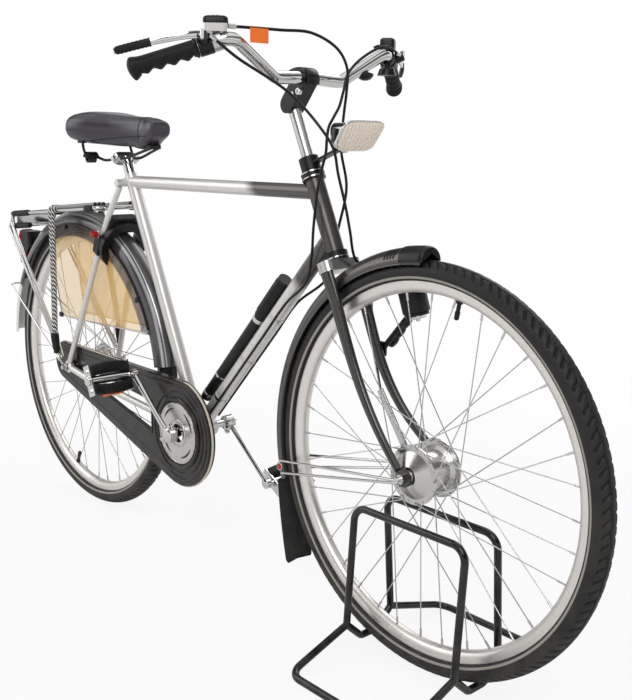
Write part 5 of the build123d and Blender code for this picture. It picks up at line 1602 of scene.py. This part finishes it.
    def stem_details(self, paints: Paints) -> None:
        """Stem fittings: two clamp bolts with sockets on the right, and a hooked cover over the top of the clamp."""
        bolts = Shell("stem_bolts")
        for ahead, up, r in self.stem_bolts:
            socket = ((-3, r), (2.4, r), (3.2, r - 0.8), (3.2, 0.5 * r), (0.6, 0.46 * r), (0.6, 0.01))
            bolts.grid(turn(socket, self.hand(ahead, -15.8, up), -LEFT, 24))
        bolts.build("front_end", "bright_steel", [paints.chrome])
        path = smooth([self.hand(ahead, 0, up) for ahead, up in self.cover_way], 60)
        Shell("stem_cover").grid(ribbon(path, LEFT, np.linspace(22, 30, 60), np.linspace(2.4, 4.5, 60), 0.45)).build(
            "front_end", "black_plastic", [paints.plastic])

    def cables(self, paints: Paints) -> None:
        """Bowden cables: smooth tubes; two cross from the bar to the frame."""
        brake = smooth([self.hand(*p) for p in self.brake_route] + [head(*p) for p in self.brake_drop], 240)
        Shell("front_brake_cable").grid(tube(brake, self.cable_r, 10)).build(
            "front_end", "black_rubber", [paints.cable])
        tubes = FrameTubes()
        ends = (head(self.bend[0]), head(self.bend[1]))
        for name, route, side, node in (("gear_cable", self.gear_route, 1.0, "front_cables"),
                                        ("rear_brake_cable", self.left_route, -1.0, "frame_cables")):
            points = [self.hand(*p) for p in route] + [head(t, ahead, side * y) for t, ahead, y in self.neck]
            points += [tubes.along(s, self.run_up, side * self.run_y) for s in np.linspace(*self.run_s, 5)]
            Shell(name).grid(tube(smooth(points, 320), self.cable_r, 10)).bend(
                ("front_end", "frame"), ends, "black_rubber", [paints.cable], node)
        clips, ferrules = Shell("cable_clips"), Shell("cable_ferrules")
        run = tubes.along(1.0) - tubes.along(0.0)
        for s in self.clip_places:
            clips.grid(turn(self.clip_rows, tubes.along(s), run, 40), Ends.OPEN)
        clips.build("frame", "bright_steel", [paints.alloy])
        for route in (self.brake_route, self.gear_route, self.left_route):
            first, second = self.hand(*route[0]), self.hand(*route[1])
            ferrules.grid(turn(self.ferrule_rows, first, second - first, 16))
        ferrules.build("front_end", "alloy", [paints.alloy])

    def tag(self, paints: Paints) -> None:
        """Paper tag on the gear cable: a thin folded sheet, slightly waved across its width."""
        s, t = np.linspace(-17.5, 17.5, 24), np.linspace(0.0, 2 * pi, 12, endpoint=False)
        outline = np.stack((0.35 * np.cos(t), 11.5 * np.sign(np.sin(t)) * np.abs(np.sin(t)) ** 0.5), axis=1)
        x = self.tag_at[0] + 1.2 * np.sin(s / 9.0)[:, None] + outline[None, :, 0] + 0.03 * s[:, None]
        Shell("cable_tag").grid(self.hand(x, self.tag_at[1] + s[:, None], self.tag_at[2] + outline[None, :, 1])).build(
            "front_end", "amber_sheet", [paints.orange])

    def build(self, paints: Paints, dressing: Dressing) -> None:
        """Dress the bar and stem, and make all that is on them."""
        dressing.dress(paints.alloy, "stem_quill", "gear_shifter")
        dressing.dress(paints.chrome, "handlebar")
        dressing.dress(paints.plastic, "stem_head", "brake_brackets", "bell")
        self.grips(paints)
        self.levers(paints)
        self.shifter(paints)
        self.bell(paints)
        self.stem_details(paints)
        self.cables(paints)
        self.tag(paints)


@dataclass
class Headlamp:
    """Headlamp with a ribbed lens in a bright housing."""

    lens_at: Triple = (918.0, 0.0, 892.3)
    normal: Triple = (0.824, 0.0, -0.566)
    half_w: float = 46.0
    half_h: float = 28.0
    dome: float = 3.6
    rib: float = 7.6
    rib_high: float = 1.4
    taper: float = 0.1
    catch_rows: Rows = ((0.8, -5.0), (1.0, -4.0), (1.0, 1.0), (0.8, 2.0))
    panel_rows: Rows = ((0.94, -2.0), (1.0, -1.0), (1.0, 1.2), (0.93, 1.8))

    def axes(self) -> tuple[Array, Array, Array, Array]:
        """Lens middle, and its directions across, up and out."""
        out = unit(vec(*self.normal))
        return place(*self.lens_at), LEFT, vec(-out[2], 0, out[0]), out

    def outline(self, share: float) -> Array:
        """Lens outline at a share of its size: a soft oblong that narrows downwards."""
        flat = rounded(self.half_w * share, self.half_h * share, 5.0, 96)
        flat[:, 0] *= self.narrow(flat[:, 1])
        return flat

    def narrow(self, up: Array) -> Array:
        """Share of the width that is left at a height on the lens."""
        return 1.0 + self.taper * (up / self.half_h - 1.0) * 0.5

    def lens(self, paints: Paints) -> None:
        """Lens: slices across the width, a low dome in front and flat behind, ribbed by a squared sine of the width."""
        middle, across, up, out = self.axes()
        u = np.sin(np.linspace(-0.497 * pi, 0.497 * pi, 241))
        half = self.half_h * (1.0 - np.abs(u) ** 5) ** 0.2
        v = np.concatenate((np.linspace(-1, 1, 33), np.linspace(1, -1, 9)[1:-1]))
        front = np.arange(len(v)) < 33
        edge = np.clip((1.0 - np.maximum(np.abs(u)[:, None], np.abs(v)[None])) / 0.1, 0.0, 1.0)
        ribs = self.rib_high * (np.sin(pi * u * self.half_w / self.rib) ** 2)[:, None] * edge
        tall = np.where(front, 1.6 + self.dome * (1.0 - u[:, None] ** 2) * (1.0 - v**4) + ribs, -4.0)
        rise = half[:, None] * v[None]
        wide = self.half_w * u[:, None] * self.narrow(rise)
        points = middle + MM * (wide[..., None] * across + rise[..., None] * up + tall[..., None] * out)
        Shell("headlamp_ribbed_lens").grid(points).build(
            "front_end", "clear_lens", [paints.glass], "headlamp_lens", crease=50)

    def trim(self, paints: Paints) -> None:
        """Bright rim round the lens, a lower catch, and a dark panel let into each side of the housing."""
        middle, across, up, out = self.axes()
        edge = self.outline(1.012)
        rim = Shell("headlamp_rim").hoop(middle + MM * (edge[:, :1] * across + edge[:, 1:] * up - out), 2.1)
        catch = middle - MM * (up * (self.half_h + 2.0) + across * 17.0)
        rim.grid(stack(self.catch_rows, rounded(6, 3.4, 4, 20), catch, across, up, out))
        rim.build("front_end", "bright_steel", [paints.chrome])
        panel = Shell("headlamp_side_panels")
        for side in SIDES:
            wall = unit(vec(50.0, side * 22.0, 0))
            away = side * vec(-wall[1], wall[0], 0)
            spot = place(self.lens_at[0] - 30.0, side * 31.2, self.lens_at[2] + 1.0)
            panel.grid(stack(self.panel_rows, rounded(9, 12, 5, 28), spot, wall, UP, away))
        panel.build("front_end", "black_plastic", [paints.plastic])

    def build(self, paints: Paints, dressing: Dressing) -> None:
        """Dress the housing and make the lens and trim."""
        dressing.dress(paints.chrome, "headlamp")
        dressing.dress(paints.plastic, "headlamp_bracket")
        self.lens(paints)
        self.trim(paints)


@dataclass
class FrontEnd:
    """Fork, front mudguard with its flap, dynamo and brake."""

    guard_r: float = 371.0
    guard_half: float = 24.0
    cap: Pair = (90.4, 98.5)
    vents: tuple[float, ...] = (100.2, 101.3, 102.4, 103.5)
    flap_top: Pair = (731.0, 247.0)
    flap_low: Pair = (768.0, 90.0)
    flap_w: Pair = (46.0, 66.0)
    flap_t: float = 2.6
    dynamo_deg: float = 106.5
    dynamo_from: float = 256.0
    dynamo_to: float = 316.0
    dynamo_y: float = 50.0
    dynamo_r: float = 20.0
    dynamo_rings: Rows = ((3.0, 5.0), (12.0, 2.0), (44.0, 2.0), (55.0, 4.0))
    dynamo_rows: Rows = ((5, 19.5), (6, 23.0), (9, 24.0), (48, 24.0), (51, 23.0), (52, 19.5))
    dynamo_pad: Triple = (942.0, 62.0, 533.0)

    def section(self, angle: Array, lean: Array, lift: Number = 0.0) -> Array:
        """Point on the mudguard: a half round about its spring circle, at an angle round the axle and a lean."""
        r = self.guard_r - self.guard_half + (self.guard_half + lift) * np.cos(lean)
        a = np.radians(angle)
        return place(WHEELBASE + r * np.cos(a), (self.guard_half + lift) * np.sin(lean), AXLE_Z + r * np.sin(a))

    def guard_cap(self, paints: Paints) -> None:
        """Nose of the mudguard: its section, lifted a little and closed down at the tip; vents and rolled edges."""
        lean = np.radians(np.concatenate((np.linspace(-90, 90, 33), np.linspace(86, -86, 31))))
        skin = np.concatenate((np.full(33, 1.5), np.full(31, -2.4)))
        angle = np.linspace(*self.cap, 40)
        swell = np.sqrt(np.clip(1 - ((self.cap[0] + 1.4 - angle) / 1.5).clip(0, 1) ** 2, 0.12, 1))
        lift = skin[None] - 5.0 * (1.0 - swell[:, None]) * (skin[None] > 0)
        Shell("front_guard_cap").grid(self.section(angle[:, None], lean[None], lift)).build(
            "front_end", "black_plastic", [paints.plastic], crease=50)
        slots = Shell("front_guard_vents")
        for at in self.vents:
            for side in SIDES:
                across = np.radians(side * np.linspace(24, 72, 24))
                path = self.section(np.linspace(at - 0.5, at + 0.5, 24), across, 0.1)
                slots.grid(ribbon(path, vec(-sin(radians(at)), 0, cos(radians(at))), 3.4, 1.2))
        slots.build("front_end", "black_plastic", [paints.plastic])
        edges = Shell("front_guard_edges")
        for side in SIDES:
            path = arc((WHEELBASE, AXLE_Z), self.guard_r - 27.0, 98.0, 195.0, 110, side * (self.guard_half - 0.7))
            edges.grid(tube(path, 1.4, 8))
        edges.build("front_end", "dark_paint", [paints.dark])

    def flap(self, paints: Paints) -> None:
        """Mud flap: a sheet that widens downwards, bowed across its width, with two grooves and a narrowed foot."""
        share = np.linspace(0.0, 1.0, 60)
        x = self.flap_top[0] + (self.flap_low[0] - self.flap_top[0]) * (0.72 * share + 0.28 * share**2)
        z = self.flap_top[1] + (self.flap_low[1] - self.flap_top[1]) * share
        width = self.flap_w[0] + (self.flap_w[1] - self.flap_w[0]) * share**0.8
        c = np.concatenate((np.linspace(-1, 1, 41), np.linspace(1, -1, 41)[1:-1]))
        skin = np.concatenate((np.full(41, 0.5), np.full(39, -0.5))) * self.flap_t
        bow = 7.0 * c**2 - 1.4 * np.exp(-(((np.abs(c) - 0.5) / 0.08) ** 2)) * (skin < 0)
        trim = 1.0 - 0.12 * np.clip((share - 0.95) / 0.05, 0, 1) ** 2
        points = place(x[:, None] + bow[None] + skin[None] - 3.0, (width * trim)[:, None] / 2 * c[None], z[:, None])
        Shell("front_flap_sheet").grid(points).build(
            "front_end", "black_rubber", [paints.rubber], "front_mud_flap", crease=50)

    def reflectors(self, paints: Paints) -> None:
        """Red round reflectors with bright rims where the stays meet the guard."""
        lamps = Shell("stay_reflectors")
        for side in SIDES:
            spot = arc((WHEELBASE, AXLE_Z), 352, 192.0, 192.0, 1, side * 23.8)[0]
            lamps.grid(turn(button(8.0, 3.2), spot, side * LEFT, 28), part=1)
            lamps.grid(turn(button(6.6, 4.2, 0.5), spot, side * LEFT, 28))
        lamps.build("front_end", "red_lens", [paints.red, paints.chrome])

    def dynamo(self, paints: Paints) -> None:
        """Dynamo trim: turned rings and a sleeve round its barrel, a beaded link to its bracket, a cap and a spring."""
        axle, degrees, y = (WHEELBASE, AXLE_Z), self.dynamo_deg, self.dynamo_y
        foot = arc(axle, self.dynamo_from, degrees, degrees, 1, y)[0]
        axis = unit(arc(axle, self.dynamo_to, degrees, degrees, 1, y - 4.0)[0] - foot)
        rings = Shell("dynamo_rings")
        low, high = self.dynamo_r - 0.3, self.dynamo_r + 1.1
        for at, wide in self.dynamo_rings:
            half = wide / 2
            rows = ((-half, low), (0.5 - half, high), (half - 0.5, high), (half, low))
            rings.grid(turn(rows, foot + MM * at * axis, axis, 44), Ends.OPEN)
        rings.grid(turn(self.dynamo_rows, foot, axis, 44))
        start = foot + MM * (16 * axis + 4 * LEFT)
        link = place(*self.dynamo_pad) - start
        beads = np.linspace(0.0, float(np.linalg.norm(link)) / MM, 90)
        wave = 5.6 + 2.6 * np.abs(np.sin(np.linspace(0.0, 4 * pi, 90))) ** 0.6
        rings.grid(turn(np.stack((beads, wave), axis=1), start, link, 20))
        rings.build("front_end", "alloy", [paints.plastic])
        cap = Shell("dynamo_cap")
        cap.grid(turn(button(15.0, 5.0, 0.5), foot, -axis, 40))
        cap.grid(turn(button(4.0, 9.0, 0.3), foot, -axis, 16))
        turns = np.linspace(0.0, 12 * pi, 180)[:, None]
        around = np.cos(turns) * axis + np.sin(turns) * unit(np.cross(axis, LEFT))
        coil = foot + MM * (16.0 * axis + (15.0 + 0.5 * turns / pi) * LEFT + 7.0 * around)
        cap.grid(tube(coil, 1.1, 6))
        cap.build("front_end", "alloy", [paints.chrome])

    def build(self, paints: Paints, dressing: Dressing) -> None:
        """Dress the fork and its fittings and add their details."""
        dressing.dress(paints.fork, "fork_blades")
        dressing.dress(paints.dark, "front_mudguard")
        dressing.dress(paints.alloy, "fork_crown", "front_brake_plate")
        dressing.dress(paints.plastic, "dynamo")
        dressing.dress(paints.chrome, "front_axle", "front_guard_stays")
        self.guard_cap(paints)
        self.flap(paints)
        self.reflectors(paints)
        self.dynamo(paints)


@dataclass
class FloorStand:
    """Tube stand that holds the front wheel."""

    def build(self, paints: Paints, dressing: Dressing) -> None:
        """Dress the stand."""
        dressing.dress(paints.stand, "floor_stand")


@dataclass
class Studio:
    """White studio: floor, lights and the camera of the photograph."""

    camera_at: Triple = (1.5729, -1.1642, 0.8691)
    azimuth: float = radians(47.78)
    elevation: float = radians(11.66)
    roll: float = radians(0.57)
    lens: float = 49.86
    floor_size: float = 9.0
    floor_fade: tuple[float, float, float, float] = (0.9, 2.4, 0.86, 1.0)
    paper: Colour = (0.86, 0.86, 0.86, 1.0)
    white: Colour = (1.0, 1.0, 1.0, 1.0)
    lamps: tuple[tuple[str, Triple, float], ...] = (
        ("key", (2.2, -2.6, 3.2), 60.0), ("fill", (-2.6, -2.2, 2.4), 36.0), ("back", (-0.6, 3.0, 2.8), 36.0))
    lamp_size: float = 2.6
    aim: Triple = (0.0, 0.0, 0.45)
    sky_unseen: float = 0.55
    belt_low: Pair = (0.16, 0.34)
    belt_high: Pair = (0.5, 0.8)
    belt_dark: float = 0.9

    @staticmethod
    def stand(name: str, data: bpy.types.ID, axes: tuple[Array, Array, Array], spot: Triple) -> Piece:
        """Add an object at a place, turned to its right, up and back directions.

        Args:
            name: Name of the object.
            data: Its camera or light.
            axes: The right, up and back directions.
            spot: Its place.

        Returns:
            The object.
        """
        made = bpy.data.objects.new(name, data)
        bpy.context.scene.collection.objects.link(made)
        turned = np.eye(4)
        turned[:3] = np.stack((*axes, spot), axis=1)
        made.matrix_world = Matrix(turned.tolist())
        return made

    def camera(self) -> None:
        """Camera that looks along the azimuth, down by the elevation, turned by the roll."""
        a, e, r = self.azimuth, self.elevation, self.roll
        forward = np.array((-sin(a) * cos(e), cos(a) * cos(e), -sin(e)))
        level = np.array((cos(a), sin(a), 0.0))
        right = level * cos(r) + np.cross(level, forward) * sin(r)
        data = bpy.data.cameras.new("photo camera")
        data.lens = self.lens
        data.sensor_width = 36.0
        data.sensor_fit = "AUTO"
        data.clip_end = 60.0
        axes = (right, np.cross(right, forward), -forward)
        bpy.context.scene.camera = self.stand("photo camera", data, axes, self.camera_at)

    def floor(self) -> None:
        """White floor that keeps a soft shadow and runs out into the background."""
        s = self.floor_size
        mesh = bpy.data.meshes.new("floor")
        mesh.from_pydata([(-s, -s, 0), (s, -s, 0), (s, s, 0), (-s, s, 0)], [], [(0, 1, 2, 3)])
        made = bpy.data.materials.new("studio floor")
        made.use_nodes = True
        made.node_tree.nodes.clear()
        n = Nodes(made.node_tree)
        x, y, _ = n.axes(n.objects())
        paper = n.add("BsdfDiffuse", {"Color": self.paper})
        glow = n.add("Emission", {"Color": self.white, "Strength": 1.0})
        path = n.add("LightPath").outputs
        direct = n.math("MAXIMUM", path["Is Camera Ray"], path["Is Transmission Ray"])
        seen = n.math("MULTIPLY", n.span(n.far(x, y), *self.floor_fade), direct)
        out = n.add("MixShader", {0: seen, 1: paper.outputs[0], 2: glow.outputs[0]})
        n.add("OutputMaterial", {"Surface": out.outputs[0]})
        mesh.materials.append(made)
        ground = bpy.data.objects.new("floor", mesh)
        bpy.context.scene.collection.objects.link(ground)

    def lights(self) -> None:
        """Large soft lamps round the bicycle, and a white world whose reflection has a dark belt."""
        for name, spot, power in self.lamps:
            data = bpy.data.lights.new(name, "AREA")
            data.shape = "DISK"
            data.size = self.lamp_size
            data.energy = power
            back = unit(np.subtract(spot, self.aim))
            side = unit(np.cross(UP, back))
            self.stand(name, data, (side, np.cross(back, side), back), spot)
        world = bpy.data.worlds.new("white studio")
        world.use_nodes = True
        world.node_tree.nodes.clear()
        n = Nodes(world.node_tree)
        path = n.add("LightPath").outputs
        mirrored = path["Is Glossy Ray"]
        direct = n.math("MAXIMUM", path["Is Camera Ray"], n.math("MAXIMUM", mirrored, path["Is Transmission Ray"]))
        height = n.axes(n.add("TexCoord").outputs["Generated"])[2]
        dark = n.math("MULTIPLY", n.span(height, *self.belt_low), n.span(height, *self.belt_high, 1.0, 0.0))
        whole = n.math("MULTIPLY_ADD", direct, 1.0 - self.sky_unseen, self.sky_unseen)
        left = n.math("MULTIPLY_ADD", n.math("MULTIPLY", dark, mirrored), -self.belt_dark, 1.0)
        sky = n.add("Background", {"Color": self.white, "Strength": n.math("MULTIPLY", whole, left)})
        n.add("OutputWorld", {"Surface": sky.outputs[0]})
        bpy.context.scene.world = world

    def build(self) -> None:
        """Set the view and make the studio."""
        bpy.context.scene.view_settings.view_transform = "Standard"
        self.camera()
        self.floor()
        self.lights()


def main() -> None:
    """Build and dress the bicycle and set the studio."""
    logging.basicConfig(level=logging.INFO, format="%(name)s %(message)s")
    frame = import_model()
    paints = Paints()
    dressing = Dressing(frame["nodes"])
    for sub_assembly in (Wheel("front", WHEELBASE, valve_deg=78.7), Wheel("rear", 0.0), FrameTubes(), Saddle(),
                         Drive(), RearEnd(), Cockpit(), Headlamp(), FrontEnd(), FloorStand()):
        sub_assembly.build(paints, dressing)
        log.info("%s done", type(sub_assembly).__name__)
    Studio().build()


if __name__ == "__main__":
    main()
